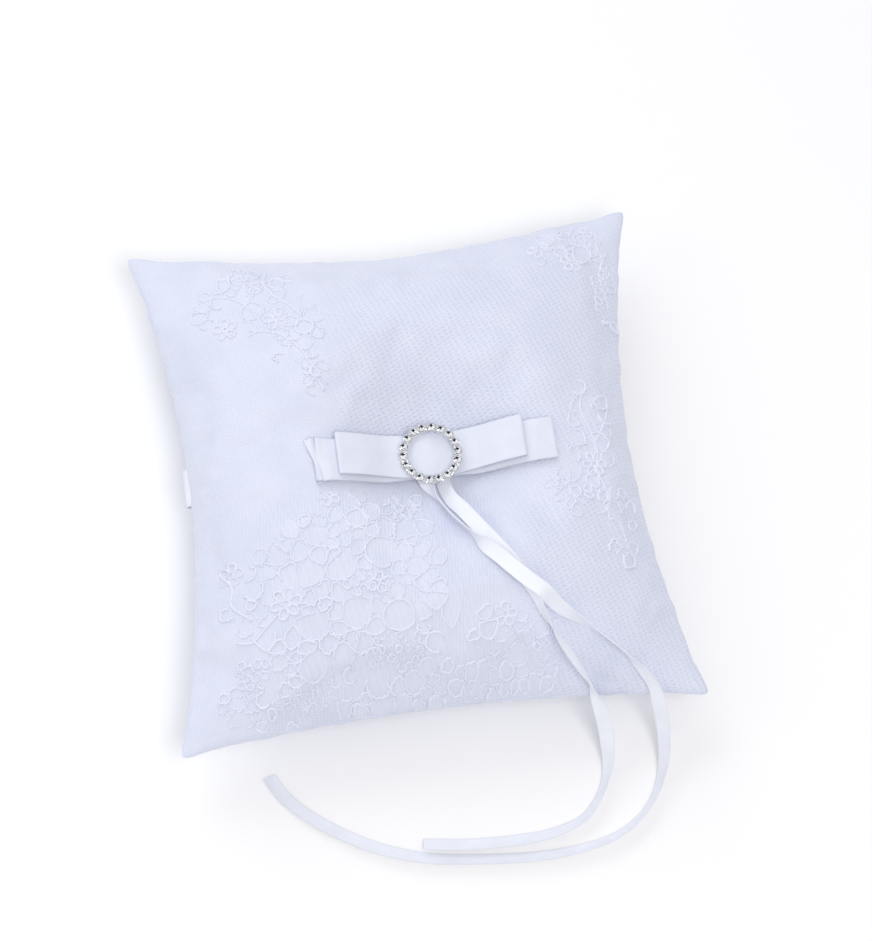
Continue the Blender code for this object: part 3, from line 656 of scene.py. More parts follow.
PLAN_HALF = 101  # half the front between its seams

# Stems are lists of points, drawn as plain cords.
STEMS = [
    [(-77, -64), (-71, -65), (-66, -61), (-60, -56)],
    [(-80, -36), (-76, -43), (-77, -50), (-70, -57)],
    [(-58, 57), (-50, 55), (-44, 51), (-40, 46), (-36, 38), (-31, 30)],
    [(-44, 51), (-43, 43), (-38, 36)],
    [(-76, 74), (-68, 75), (-60, 71), (-55, 64), (-52, 56)],
    [(-48, 86), (-50, 79), (-47, 72), (-42, 67), (-37, 60)],
    [(-68, 84), (-60, 82), (-55, 76)],
    [(88, 92), (87, 84), (88, 75), (86, 66), (87, 57)],
    [(62, 84), (70, 83), (76, 86), (84, 84)],
    [(68, 20), (66, 12), (68, 4), (70, -4), (69, -14), (71, -24), (70, -34)],
    [(78, 14), (75, 6), (70, -2)],
    [(54, -8), (57, -14), (56, -22), (61, -28)],
    [(74, -34), (76, -42), (75, -50)],
]
# Fields of petals: the middle, the half sizes, a petal's radius, how much longer than wide the
# petals are, their direction in degrees, and the share of them that is left out.
FIELDS = [
    ((-31, -56), (35, 37), 3.1, 1.35, 60, 0.05),
    ((-68, -56), (14, 24), 2.7, 1.25, 50, 0.40),
    ((-60, -87), (25, 9), 2.3, 1.20, 30, 0.18),
    ((-14, -88), (30, 8), 2.4, 1.20, 10, 0.12),
    ((26, -79), (19, 15), 2.3, 1.45, 50, 0.15),
    ((-19, -22), (24, 9), 2.7, 1.30, 85, 0.30),
    ((-55, 71), (22, 15), 2.5, 1.40, 10, 0.42),
    ((-42, 54), (10, 13), 2.4, 1.45, 150, 0.25),
    ((-36, 37), (6, 9), 1.9, 1.50, 130, 0.30),
    ((74, 83), (16, 10), 2.2, 1.30, 40, 0.30),
    ((86, 62), (4, 18), 1.9, 1.40, 95, 0.25),
    ((69, 4), (8, 18), 2.4, 1.35, 100, 0.25),
    ((57, -17), (9, 13), 2.2, 1.30, 60, 0.30),
    ((74, -34), (7, 18), 2.1, 1.35, 80, 0.40),
]
# Large petals that the others keep clear of: the middle and the radius.
LARGE_PETALS = [
    (-47, -43, 4.6), (-35, -43, 5.0), (-20, -38, 6.4), (-7, -45, 4.2), (-31, -60, 6.0), (-49, -63, 5.2),
    (-16, -63, 6.2), (-50, -77, 5.4), (-38, -73, 3.6), (-26, -86, 4.4), (-12, -86, 4.0), (-44, -29, 4.4),
    (-9, -29, 4.4), (-27, -24, 4.2), (28, -81, 4.0), (17, -72, 3.6), (37, -73, 3.4), (-4, -74, 3.6),
    (-66, -64, 4.4), (-68, -46, 3.8), (-37, 55, 3.6), (-38, 48, 3.2), (-56, 66, 4.2), (-68, 73, 3.6),
    (80, 82, 3.8), (66, 88, 3.2), (67, 13, 3.8), (71, -2, 4.0), (58, -15, 3.4), (73, -30, 3.4),
]
# Patches of small meshes between the petals: the middle, the half sizes and a mesh's radius.
SMALL_MESHES = [
    ((-17, -75), (12, 6), 1.25), ((-52, -87), (9, 4), 1.3), ((-26, -50), (8, 4), 1.5),
    ((-53, -54), (4, 5), 1.4), ((33, -77), (6, 7), 1.3), ((-58, 78), (6, 5), 1.5), ((52, -20), (4, 6), 1.3),
    ((-10, -20), (6, 5), 1.5), ((-72, -76), (6, 5), 1.4), ((78, 90), (7, 4), 1.3),
]
# Flowers: the middle, the radius, the number of petals, and the turn in degrees.
FLOWERS = [
    (-57, -53, 5.6, 6, 10), (-47, 61, 5.0, 6, 0), (-67, 60, 4.4, 5, 20), (74, 76, 4.4, 5, 15),
    (68, -11, 4.6, 6, 0), (-76, -38, 4.4, 5, 0), (24, -67, 4.2, 5, 10), (-36, -14, 4.2, 5, 30),
]


def smooth_line(points, step, closed=False):
    """Points about a step apart on a smooth curve through the given ones."""
    rows = [np.array(point, float) for point in points]
    if closed:
        ends = [rows[-1]] + rows + rows[:2]
    else:
        ends = [2 * rows[0] - rows[1]] + rows + [2 * rows[-1] - rows[-2]]
    line = []
    for before, start, end, after in zip(ends, ends[1:], ends[2:], ends[3:]):
        count = max(1, int(round(np.linalg.norm((end - start)[:2]) / step)))
        for share in np.arange(count) / count:
            line.append((2 * start + (end - before) * share
                         + (2 * before - 5 * start + 4 * end - after) * share**2
                         + (3 * start - before - 3 * end + after) * share**3) / 2)
    return np.array(line if closed else line + [rows[-1]])


def petal_loop(x, y, length, width, degrees, draw):
    """A rounded petal, its tip a little lobed and no two alike."""
    turn = math.radians(degrees)
    phase = draw.random() * math.tau
    loop = []
    for angle in np.linspace(0, math.tau, 40, endpoint=False):
        wobble = 1 + 0.06 * math.sin(3 * angle + phase) + 0.045 * math.sin(7 * angle + 2 * phase)
        across = width / 2 * math.sin(angle) * (1 + 0.22 * math.cos(angle)) * wobble
        along = length / 2 * math.cos(angle) * wobble
        loop.append((x + along * math.cos(turn) - across * math.sin(turn),
                     y + along * math.sin(turn) + across * math.cos(turn)))
    return np.array(loop)


def flower_loops(x, y, radius, petals, degrees, draw):
    loops = []
    for index in range(petals):
        angle = math.radians(degrees) + math.tau * index / petals + 0.12 * (draw.random() - 0.5)
        reach = radius * (0.62 + 0.06 * draw.random())
        wide = 1.12 * radius * math.sin(math.pi / petals) * (0.95 + 0.15 * draw.random())
        loops.append(petal_loop(x + reach * math.cos(angle), y + reach * math.sin(angle),
                                radius * 0.78, wide, math.degrees(angle), draw))
    loops.append(petal_loop(x, y, radius * 0.42, radius * 0.42, 0, draw))
    return loops


def field_seeds(draw):
    """Middles, radii, and directions of all the petals, each clear of the ones before."""
    seeds = []

    def clear(x, y, radius, share):
        return all(math.hypot(x - other[0], y - other[1]) > share * (radius + other[2]) for other in seeds)

    def spots(x, y, half_x, half_y, radius, tries):
        """Random places in a box, and how far out each lies, which is 1 on the ellipse in it."""
        for _ in range(int(tries * half_x * half_y / radius**2 / 6)):
            spot_x, spot_y = x + half_x * (2 * draw.random() - 1), y + half_y * (2 * draw.random() - 1)
            yield spot_x, spot_y, math.hypot((spot_x - x) / half_x, (spot_y - y) / half_y)

    for x, y, radius in LARGE_PETALS:
        degrees = LARGE_PETAL_DEGREES[0] + LARGE_PETAL_DEGREES[1] * draw.random()
        seeds.append((x, y, radius * LARGE_PETAL_SIZE, LARGE_PETAL_STRETCH, degrees, 0.0))
    for (x, y), (half_x, half_y), radius in SMALL_MESHES:
        for spot_x, spot_y, out in spots(x, y, half_x, half_y, radius, MESH_TRIES):
            if out < 1 and clear(spot_x, spot_y, radius, MESH_CROWDING):
                seeds.append((spot_x, spot_y, radius, 1.0, 0, 0.1))
    for (x, y), (half_x, half_y), radius, stretch, degrees, left_out in FIELDS:
        for spot_x, spot_y, out in spots(x, y, half_x, half_y, radius, PETAL_TRIES):
            size = radius * (PETAL_SIZES[0] + PETAL_SIZES[1] * draw.random())
            inside = out < FIELD_ENDS[0] + FIELD_ENDS[1] * draw.random()
            if inside and clear(spot_x, spot_y, size, PETAL_CROWDING):
                seeds.append((spot_x, spot_y, size, stretch, degrees, left_out))
    return seeds


def clip_cell(polygon, limit, normal):
    """The part of the polygon on the near side of a line."""
    kept = []
    for here, after in zip(polygon, polygon[1:] + polygon[:1]):
        inside, inside_after = here @ normal <= limit, after @ normal <= limit
        if inside:
            kept.append(here)
        if inside != inside_after:
            share = (limit - here @ normal) / ((after - here) @ normal)
            kept.append(here + share * (after - here))
    return kept


def field_loops(seeds, draw):
    """A rounded outline for each petal, which meets its neighbours' outlines cord to cord."""
    loops = []
    middles = np.array([seed[:2] for seed in seeds])
    radii = np.array([seed[2] for seed in seeds])
    for middle, (*_, radius, stretch, degrees, left_out) in zip(middles, seeds):
        if draw.random() < left_out:
            continue
        turn = math.radians(degrees)
        long_way = np.array((math.cos(turn), math.sin(turn)))
        short_way = np.array((-long_way[1], long_way[0]))
        phase = draw.random() * math.tau
        cell = []
        for angle in np.linspace(0, math.tau, 14, endpoint=False):
            uneven = 1 + 0.13 * math.sin(3 * angle + phase) + 0.10 * math.sin(5 * angle + 3 * phase)
            reach = CELL_REACH * radius * uneven
            cell.append(middle + long_way * reach * stretch * math.cos(angle)
                        + short_way * reach * math.sin(angle))
        apart = np.linalg.norm(middles - middle, axis=1)
        for other in np.nonzero((apart > 0) & (apart < 2.2 * (radius + radii)))[0]:
            normal = middles[other] - middle
            share = 0.5 + (radius**2 - radii[other] ** 2) / (2 * apart[other] ** 2)
            cell = clip_cell(cell, normal @ (middle + share * normal), normal)
            if len(cell) < 3:
                break
        if len(cell) < 3:
            continue
        centre = sum(cell) / len(cell)
        shrink = 1 - CORD_ROOM / radius
        line = smooth_line([centre + shrink * (corner - centre) for corner in round_off(cell)],
                           OUTLINE_STEP, closed=True)
        loops.append(lobed(line, draw))
    return loops


def lobed(line, draw):
    """The closed line with its edge worked in small uneven scallops."""
    along = np.concatenate([[0], np.cumsum(np.hypot(*np.diff(line, axis=0).T))])
    whole = along[-1] + math.hypot(*(line[0] - line[-1]))
    ahead = np.roll(line, -1, axis=0) - np.roll(line, 1, axis=0)
    side = np.stack([ahead[:, 1], -ahead[:, 0]], -1)
    side /= np.maximum(np.linalg.norm(side, axis=1), 1e-9)[:, None]
    count = max(3, round(whole / SCALLOP))
    arcs = np.abs(np.sin(math.pi * count * along / whole + math.tau * draw.random())) - 0.6
    return line + side * (SCALLOP_DEPTH * draw.random() * arcs)[:, None]


def round_off(polygon):
    """The polygon with each corner cut off once."""
    rounded = []
    for here, after in zip(polygon, polygon[1:] + polygon[:1]):
        if np.linalg.norm(after - here) > 0.25:
            rounded += [here + 0.27 * (after - here), here + 0.73 * (after - here)]
    return rounded if len(rounded) > 3 else polygon


def on_front(x, y):
    """Clear of the seam and of the bow."""
    def drawn_in(depth, along):
        return HALF_SIDE / MM - depth / MM * (1 - min(1, abs(along) / PLAN_HALF) ** PULL_IN_POWER)

    side = drawn_in(SIDE_PULL_IN, y)
    end = drawn_in(TOP_PULL_IN if y > 0 else BOTTOM_PULL_IN, x)
    under_bow = abs(x - TUFT.x / MM) < BOW_CLEAR[0] and abs(y - TUFT.y / MM) < BOW_CLEAR[1]
    return abs(x) < side - SEAM_CLEAR and abs(y) < end - SEAM_CLEAR and not under_bow


def draw_motifs():
    """All the cords as (closed, points in millimetres), and the loops that hold close cloth."""
    draw = random.Random(7)
    cords = [(False, smooth_line(stem, 0.6)) for stem in STEMS]
    flowers = [loop for flower in FLOWERS for loop in flower_loops(*flower, draw)]
    seeds = [seed for seed in field_seeds(draw)
             if all(math.hypot(seed[0] - x, seed[1] - y) > radius + 0.5 * seed[2]
                    for x, y, radius, *_ in FLOWERS)]
    petals = field_loops(seeds, draw)
    for loop in petals:
        if draw.random() < OPEN_SHARE:
            start = draw.randrange(len(loop))
            open_loop = np.roll(loop, start, axis=0)[:int(len(loop) * (0.55 + 0.3 * draw.random()))]
            cords.append((False, open_loop))
        else:
            cords.append((True, loop))
    cords += [(True, loop) for loop in flowers]
    return cords, flowers + petals


def spaced(line, closed, step):
    """The line with its points evenly a step apart."""
    whole = np.concatenate([line, line[:1]]) if closed else line
    along = np.concatenate([[0], np.cumsum(np.hypot(*np.diff(whole, axis=0).T))])
    count = max(6, int(along[-1] / step))
    marks = np.linspace(0, along[-1], count + 1)[:count if closed else count + 1]
    return np.stack([np.interp(marks, along, whole[:, axis]) for axis in (0, 1)], -1)


def cord_profile():
    """Half of the cord's section and its mirror: (across, up) from the net."""
    left = [(-1, -0.3), (-0.85, 0.45), (-0.35, 1)]
    right = [(-across, up) for across, up in reversed(left)]
    return [(across * CORD_HALF_WIDTH, up * CORD_HEIGHT) for across, up in left + right]


def runs_on_net(line, closed):
    """The stretches of a cord that lie on the free net, as (place, normal), and if it closes."""
    stretch = []
    for x, y in spaced(line, closed, CORD_STEP / MM):
        hit = net_tree.ray_cast(Vector((x * MM, y * MM, HIGH)), DOWN) if on_front(x, y) else (None,)
        stretch.append(hit[:2] if hit[0] is not None else None)
    if all(stretch):
        return [stretch], closed
    runs = [[]]
    for place in stretch:
        if place:
            runs[-1].append(place)
        else:
            runs.append([])
    return [run for run in runs if len(run) > SHORTEST_RUN], False


def heading(places, index, closed=False):
    """The way that a row of places runs at one of them."""
    if closed:
        return places[(index + 1) % len(places)] - places[index - 1]
    return places[min(index + 1, len(places) - 1)] - places[max(index - 1, 0)]


def wall(here, after, sides):
    """The faces between two rings of points that start at these numbers."""
    return [(here + k, here + (k + 1) % sides, after + (k + 1) % sides, after + k) for k in range(sides)]


def caps(first, last, sides):
    """The faces that close the first and the last ring."""
    return [tuple(first + k for k in range(sides))[::-1], tuple(last + k for k in range(sides))]


def lay_cords(cords):
    """Tubes along the cords, half sunk in the net."""
    profile = cord_profile()
    sides = len(profile)
    draw = random.Random(19)
    points, faces = [], []
    for closed, line in cords:
        size = 0.65 + 0.60 * draw.random()
        runs, closed = runs_on_net(line, closed)
        for run in runs:
            start = len(points)
            count = len(run)
            places = [place for place, _ in run]
            for index, (place, normal) in enumerate(run):
                side = normal.cross(heading(places, index, closed)).normalized()
                end = 1.0 if closed else min(1.0, 0.55 + 0.3 * min(index, count - 1 - index))
                for across, up in profile:
                    points.append(place + side * across * size * end + normal * up * size * end)
            for index in range(count if closed else count - 1):
                here = start + sides * index
                after = start + sides * ((index + 1) % count)
                faces += wall(here, after, sides)
            if not closed:
                faces += caps(start, start + sides * (count - 1), sides)
    return points, faces


def inside_loop(points, loop):
    """Which points lie inside the loop, by counting its crossings."""
    x, y = points.T
    crossings = np.zeros(len(points), int)
    for (x1, y1), (x2, y2) in zip(loop, np.roll(loop, -1, axis=0)):
        spans = (y1 > y) != (y2 > y)
        reach = x1 + (y - y1) * (x2 - x1) / (y2 - y1 if y2 != y1 else 1e-9)
        crossings += spans & (x < reach)
    return crossings % 2 == 1


def cord_rayon():
    finish, nodes, links, shader = new_material("lace_cord", CORD_WHITE, 0.55, sheen=0.3)
    place = millimetres(nodes, links)
    fuzz = noise(nodes, links, place, 0.5, 3.0)
    links.new(ramp(nodes, links, fuzz, tint(CORD_WHITE, 0.93), tint(CORD_WHITE, 1.03), 0.3, 0.7),
              shader.inputs["Base Color"])
    twist = stripes(nodes, links, millimetres(nodes, links, (0.4, 0.2, 0.8)), 0.45, 1.0)
    add_bump(nodes, links, shader, [(twist, 0.4, 0.00008), (fuzz, 0.4, 0.0001)])
    return finish


def mark(made, name, values):
    attribute = made.data.attributes.new(name, "FLOAT", "POINT")
    attribute.data.foreach_set("value", np.asarray(values, np.float32))


motif_cords, motif_cloth = draw_motifs()
cord_points, cord_faces = lay_cords(motif_cords)
lace_cords = link_mesh("lace_cords", cord_points, cord_faces, cord_rayon())
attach(lace_cords, "root")

net_plan = net_rest[:, :2] / MM
closeness = np.zeros(len(net_plan))
for loop in motif_cloth:
    low, high = loop.min(0), loop.max(0)
    near = np.nonzero(((net_plan > low) & (net_plan < high)).all(1))[0]
    if len(near):
        closeness[near[inside_loop(net_plan[near], loop)]] = 1.0
mark(net, "motif", closeness)
plan_x, plan_y = net_plan.T
upper = smoothstep((plan_y + 12 + 0.25 * plan_x) / 26) * smoothstep((plan_x + 42) / 26)
lower_right = smoothstep((plan_x - 22) / 22) * smoothstep((-plan_y - 8) / 20)
mark(net, "slanting_ribs", np.clip(upper * (1 - 0.5 * smoothstep((plan_y - 66) / 20)) + lower_right, 0, 1))
lower = smoothstep((-plan_y - 6) / 14) * (1 - smoothstep((plan_x - 16) / 18))
mark(net, "upright_ribs", 0.6 * lower * smoothstep((plan_x + 86) / 30))

# ---------------------------------------------------------------------------------------------
# Hand strap. A satin ribbon across the back for the bearer's fingers. Its ends are caught in the
# side seams, and the left one stands a little out of its seam.

STRAP_WIDTH = strap_high.y - strap_low.y
STRAP_THICKNESS = 0.0005
STRAP_CLEARANCE = 0.0002
STRAP_OFF_TABLE = 0.00005
STRAP_STEP = 0.0015
STRAP_TUCK = 0.0041  # how far the right end is tucked behind its seam
TAB_OUT = 0.0024  # how far the left end stands out of its seam
TAB_OVER_SEAM = 0.0004
TAB_STEPS = 8
SELVEDGE_START = 0.9  # a ribbon thins from here to its edge, as shares of its half width
SELVEDGE_THINNING = 0.35
SELVEDGE_MARK = 0.99
RIBBON_CREASE = math.radians(50)  # a sharper bend shows as an edge
RIBBON_WHITE = (0.765, 0.79, 0.88, 1)


def tree_of(*objects):
    """All their faces in one tree, for casting rays at."""
    points, faces = [], []
    for made in objects:
        faces += [[index + len(points) for index in face.vertices] for face in made.data.polygons]
        points += [vertex.co.copy() for vertex in made.data.vertices]
    return BVHTree.FromPolygons(points, faces)


def ribbon_satin(name, colour, roughness=0.30):
    """Satin ribbon: fine threads along it, a firm selvedge on each side."""
    finish, nodes, links, shader = new_material(name, colour, roughness, sheen=0.1)
    across = marked(nodes, "across")
    lay = nodes.new("ShaderNodeCombineXYZ")
    links.new(across, lay.inputs["X"])
    links.new(marked(nodes, "along"), lay.inputs["Y"])
    stretched = nodes.new("ShaderNodeMapping")
    stretched.inputs["Scale"].default_value = (1, 0.05, 1)
    links.new(lay.outputs["Vector"], stretched.inputs["Vector"])
    threads = noise(nodes, links, stretched.outputs["Vector"], 0.25, 3.0)
    drift = noise(nodes, links, lay.outputs["Vector"], 9.0)
    weft = stripes(nodes, links, lay.outputs["Vector"], 0.35, 0.3, "Y")
    rise_to_edge = combine(nodes, links, across, 0.0, "ABSOLUTE")
    woven = ramp(nodes, links, drift, tint(colour, 0.97), tint(colour, 1.02), 0.3, 0.7)
    links.new(mixed(nodes, links, marked(nodes, "selvedge"), woven, tint(colour, 0.93)),
              shader.inputs["Base Color"])
    add_bump(nodes, links, shader,
             [(threads, 0.30, 0.00006), (weft, 0.15, 0.00003), (rise_to_edge, 0.02, 0.0001)])
    return finish


def ribbon_mesh(name, stations, thickness, closed, finish, droop=0.0, columns=9):
    """A woven strip from stations of (centre, side direction, half width), as a loop if closed."""
    centres = [Vector(station[0]) for station in stations]
    count = len(centres)
    points, across_marks, along_marks, selvedge_marks = [], [], [], []
    shares = np.linspace(-1, 1, columns)
    ring = [(share, 1) for share in shares] + [(share, -1) for share in shares[::-1]]
    travelled = 0.0
    for index, (centre, (_, side, half)) in enumerate(zip(centres, stations)):
        ahead = heading(centres, index, closed)
        side = (Vector(side) - ahead.normalized() * Vector(side).dot(ahead.normalized())).normalized()
        normal = ahead.cross(side).normalized()
        if index:
            travelled += (centre - centres[index - 1]).length
        for share, face in ring:
            thin = 1 - SELVEDGE_THINNING * max(0.0, abs(share) - SELVEDGE_START) / (1 - SELVEDGE_START)
            lift = face * thickness / 2 * thin - droop * share * share
            points.append(centre + side * (half * share) + normal * lift)
            across_marks.append(half * share / MM)
            along_marks.append(travelled / MM)
            selvedge_marks.append(1.0 if abs(share) > SELVEDGE_MARK else 0.0)
    sides = len(ring)
    faces = []
    for index in range(count if closed else count - 1):
        here = sides * index
        after = sides * ((index + 1) % count)
        faces += [(here + k, after + k, after + (k + 1) % sides, here + (k + 1) % sides)
                  for k in range(sides)]
    if not closed:
        half_ring = sides // 2
        for start, flip in ((0, False), (sides * (count - 1), True)):
            for k in range(half_ring - 1):
                quad = (start + k, start + k + 1, start + sides - 2 - k, start + sides - 1 - k)
                faces.append(quad[::-1] if flip else quad)
    made = link_mesh(name, points, faces, finish)
    made.data.set_sharp_from_angle(angle=RIBBON_CREASE)
    mark(made, "across", across_marks)
    mark(made, "along", along_marks)
    mark(made, "selvedge", selvedge_marks)
    return made


def make_strap():
    """Along the back from seam to seam, reading the case's underside."""
    def station(x, z):
        return (x, STRAP_MIDDLE_Y, z), (0, 1, 0), STRAP_WIDTH / 2

    under = tree_of(case)
    left_end = strap_low.x + TAB_OUT
    right_end = strap_high.x - STRAP_TUCK
    xs = np.linspace(left_end, right_end, int((right_end - left_end) / STRAP_STEP) + 1)
    heights = []
    for x in xs:
        hits = [under.ray_cast(Vector((x, STRAP_MIDDLE_Y + share * STRAP_WIDTH / 2, -HIGH)), -DOWN)[0]
                for share in (-0.9, 0, 0.9)]
        lowest = min([hit.z for hit in hits if hit], default=SEAM_HEIGHT)
        over_tuft = math.exp(-(((x - TUFT.x) / BACK_TUFT_SPREAD) ** 2)) * BACK_TUFT_DEPTH
        height = lowest - STRAP_CLEARANCE - STRAP_THICKNESS / 2 - over_tuft
        heights.append(max(height, STRAP_THICKNESS / 2 + STRAP_OFF_TABLE))
    heights = np.array(heights)
    for _ in range(3):
        smoothed = (heights[:-2] + 2 * heights[1:-1] + heights[2:]) / 4
        heights[1:-1] = np.minimum(heights[1:-1], smoothed)
    rise = SEAM_HEIGHT + TAB_OVER_SEAM - heights[0]
    strip = [station(left_end - TAB_OUT * math.sin(turn), heights[0] + rise * (1 - math.cos(turn)) / 2)
             for turn in np.linspace(math.pi, 0, TAB_STEPS + 1)[:-1]]
    strip += [station(x, z) for x, z in zip(xs, heights)]
    return ribbon_mesh("strap_ribbon", strip, STRAP_THICKNESS, False,
                       ribbon_satin("strap_satin", RIBBON_WHITE))


strap = make_strap()
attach(strap, "root")
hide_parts("hand_strap")

# ---------------------------------------------------------------------------------------------
# Bow. Two loops of 16.5 mm satin ribbon, the longer one below. Each is folded flat on itself with
# pressed folds at its ends, and both are drawn together where the buckle holds them.

BOW_RIBBON_THICKNESS = 0.0004
BOW_RIBBON_WIDTH = 0.0165
BOW_WAIST_WIDTH = 0.0152
RING_FILL_WIDTH = 0.0172  # where the front layer spreads to fill the ring
RING_FILL_DROP = 0.0007
WAIST_HALF_LENGTH = 0.0125
BOW_STEP = 0.0007
BOW_COLUMNS = 25
FOLD_REACH = 0.0011  # how far a pressed fold stands out past its layers
FOLD_STEPS = 7
HUMP_HEIGHT = 0.0005
HUMP_RADIUS = 0.0086
HUMP_FLANK = 0.0024  # at the left, and how much wider it is at the right
HUMP_FLANK_MORE = 0.0045
CLEAR_OF_BUCKLE = 0.0035  # from the bow's middle line to where its layers' heights are read
RAY_OFF_EDGE = 0.00003  # a ray that meets an edge exactly can pass through it
LOWER_LOOP_SKEW = 0.0056  # how far the left end's fold slants
SKEW_START = (0.036, 0.048)  # from the bow's middle
LOOP_END_RISE_Y = 0.0012  # how far the ends lie nearer the top side than the middle does
BOW_WHITE = (0.735, 0.762, 0.862, 1)


def loop_heights(node, xs, y):
    """The middle heights of a packed loop's back and front layers along its length."""
    tree = tree_of(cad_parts[node])
    backs, fronts = [], []
    for x in xs:
        beside = x + RAY_OFF_EDGE
        above = tree.ray_cast(Vector((beside, y, HIGH)), DOWN)[0]
        below = tree.ray_cast(Vector((beside, y, -HIGH)), -DOWN)[0]
        fronts.append(above.z - BOW_RIBBON_THICKNESS / 2)
        backs.append(below.z + BOW_RIBBON_THICKNESS / 2)
    return np.array(backs), np.array(fronts)


def eased(values, times):
    values = values.copy()
    for _ in range(times):
        values[1:-1] = (values[:-2] + 2 * values[1:-1] + values[2:]) / 4
    return values


def length_of(path):
    return sum((Vector(here) - Vector(after)).length for here, after in zip(path, path[1:]))


def raise_hump(made, first, last):
    """Swells the front layer where it passes over the bar inside the ring, steepest at the left."""
    points = points_of(made)
    layer = points[first:last]
    x, y = layer[:, 0] - TUFT.x, layer[:, 1] - TUFT.y
    away = np.hypot(x, y)
    rightward = 0.5 + 0.5 * x / np.maximum(away, 1e-6)
    flank = HUMP_FLANK + HUMP_FLANK_MORE * rightward
    layer[:, 2] += HUMP_HEIGHT * smoothstep((HUMP_RADIUS - away) / flank)
    set_points(made, points)


def make_loop(name, node, skew, hump, finish):
    """A folded loop of the bow. With a hump, its front layer passes over the buckle's bar."""
    low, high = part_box(node)
    middle_x = TUFT.x
    half_length = (high.x - low.x) / 2
    y = (low.y + high.y) / 2
    reach = half_length - FOLD_REACH
    xs = np.linspace(middle_x - reach, middle_x + reach, int(2 * reach / BOW_STEP) + 1)
    backs, fronts = loop_heights(node, xs, y + CLEAR_OF_BUCKLE)
    backs, fronts = eased(backs, 4), eased(fronts, 6)

    def station(x, z):
        out = abs(x - middle_x)
        share = float(smoothstep((out - WAIST_HALF_LENGTH / 2) / WAIST_HALF_LENGTH))
        waist = RING_FILL_WIDTH if hump else BOW_WAIST_WIDTH
        half = (waist + (BOW_RIBBON_WIDTH - waist) * share) / 2
        rise = LOOP_END_RISE_Y * (out / half_length) ** 2 - LOOP_END_RISE_Y / 2
        if hump:
            rise -= RING_FILL_DROP * (1 - share)
        lean = skew * float(between(middle_x - x, SKEW_START))
        side = Vector((-lean / (2 * half), 1, 0)) if lean else Vector((0, 1, 0))
        return (x + lean / 2, y + rise, z), side, half * side.length

    def fold(x, low_z, high_z, way):
        middle = (low_z + high_z) / 2
        radius = (high_z - low_z) / 2
        return [station(x + way * FOLD_REACH * math.sin(angle) ** 0.8, middle - radius * math.cos(angle))
                for angle in np.linspace(0, math.pi, FOLD_STEPS + 2)[1:-1]]

    stations = [station(x, z) for x, z in zip(xs, backs)]
    stations += fold(xs[-1], backs[-1], fronts[-1], 1)
    stations += [station(x, z) for x, z in zip(xs[::-1], fronts[::-1])]
    stations += fold(xs[0], backs[0], fronts[0], -1)[::-1]
    made = ribbon_mesh(name, stations, BOW_RIBBON_THICKNESS, True, finish, columns=BOW_COLUMNS)
    if hump:
        ring = 2 * BOW_COLUMNS
        raise_hump(made, ring * (len(xs) + FOLD_STEPS), ring * (2 * len(xs) + FOLD_STEPS))
    length = length_of([place for place, *_ in stations + stations[:1]])
    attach(made, "root")
    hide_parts(node)
    return made


bow_finish = ribbon_satin("bow_satin", BOW_WHITE, 0.28)
make_loop("bow_loop_lower", "bow_lower_loop", LOWER_LOOP_SKEW, False, bow_finish)
make_loop("bow_loop_upper", "bow_upper_loop", 0, True, bow_finish)

# ---------------------------------------------------------------------------------------------
# Slide buckle. A cast ring of eighteen small cups, plated bright silver, with a bar across it that
# the ribbon's front layer passes over. Each cup has four claws bent over its stone.

STONES = 18
buckle_low, buckle_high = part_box("slide_buckle")
stone_boxes = [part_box(f"stone_{number:02d}") for number in range(1, STONES + 1)]
STONE_RADIUS = 0.00135
STONE_MIDDLES = [(low + high) / 2 for low, high in stone_boxes]
GIRDLE_OVER_TIP = 0.0008
STONE_GIRDLE_HEIGHT = stone_boxes[0][0].z + GIRDLE_OVER_TIP
RING_RADIUS = (Vector((STONE_MIDDLES[0].x, STONE_MIDDLES[0].y)) - TUFT).length
CUP_RADIUS = 0.00177
CUP_WALL = 0.0003
CUP_RISE = 0.0009
RING_THICKNESS = 0.0009
RING_HALF_WIDTH = 0.0012
CUP_TOP = buckle_high.z
RING_BOTTOM = CUP_TOP - CUP_RISE - RING_THICKNESS
RING_BEVEL = 0.0002
RING_SIDES = 120
CUP_SIDES = 28
CLAWS = 4
CLAW_RADIUS = 0.00024
BAR_THICKNESS = 0.0007
BAR_BEND = 0.0016  # the length at each end over which the bar rises to the ring
BAR_SIDES = 12
CAST_EDGE = math.radians(38)
SILVER = (0.92, 0.93, 0.94, 1)


class Parts:
    """Gathers the meshes of one piece."""

    def __init__(self):
        self.points = []
        self.faces = []

    def add(self, points, faces):
        start = len(self.points)
        self.points += [Vector(point) for point in points]
        self.faces += [tuple(start + index for index in face) for face in faces]


def turned(profile, sides, middle, closed=False):
    """A shape turned about the vertical through middle, from a profile of (radius, height)."""
    turns = [math.tau * index / sides for index in range(sides)]
    points = [(middle[0] + radius * math.cos(angle), middle[1] + radius * math.sin(angle), height)
              for radius, height in profile for angle in turns]
    rows = len(profile)
    faces = []
    for row in range(rows if closed else rows - 1):
        faces += wall(row * sides, (row + 1) % rows * sides, sides)
    if not closed:
        faces += caps(0, (rows - 1) * sides, sides)
    return points, faces


def rod(places, radius, sides=8):
    """A round rod through some places, its ends drawn in."""
    points, faces = [], []
    places = [Vector(place) for place in places]
    for index, place in enumerate(places):
        ahead = heading(places, index).normalized()
        side = ahead.orthogonal().normalized()
        over = ahead.cross(side)
        size = radius * (0.6 if index in (0, len(places) - 1) else 1.0)
        for k in range(sides):
            angle = math.tau * k / sides
            points.append(place + (side * math.cos(angle) + over * math.sin(angle)) * size)
    for index in range(len(places) - 1):
        faces += wall(index * sides, (index + 1) * sides, sides)
    faces += caps(0, (len(places) - 1) * sides, sides)
    return points, faces


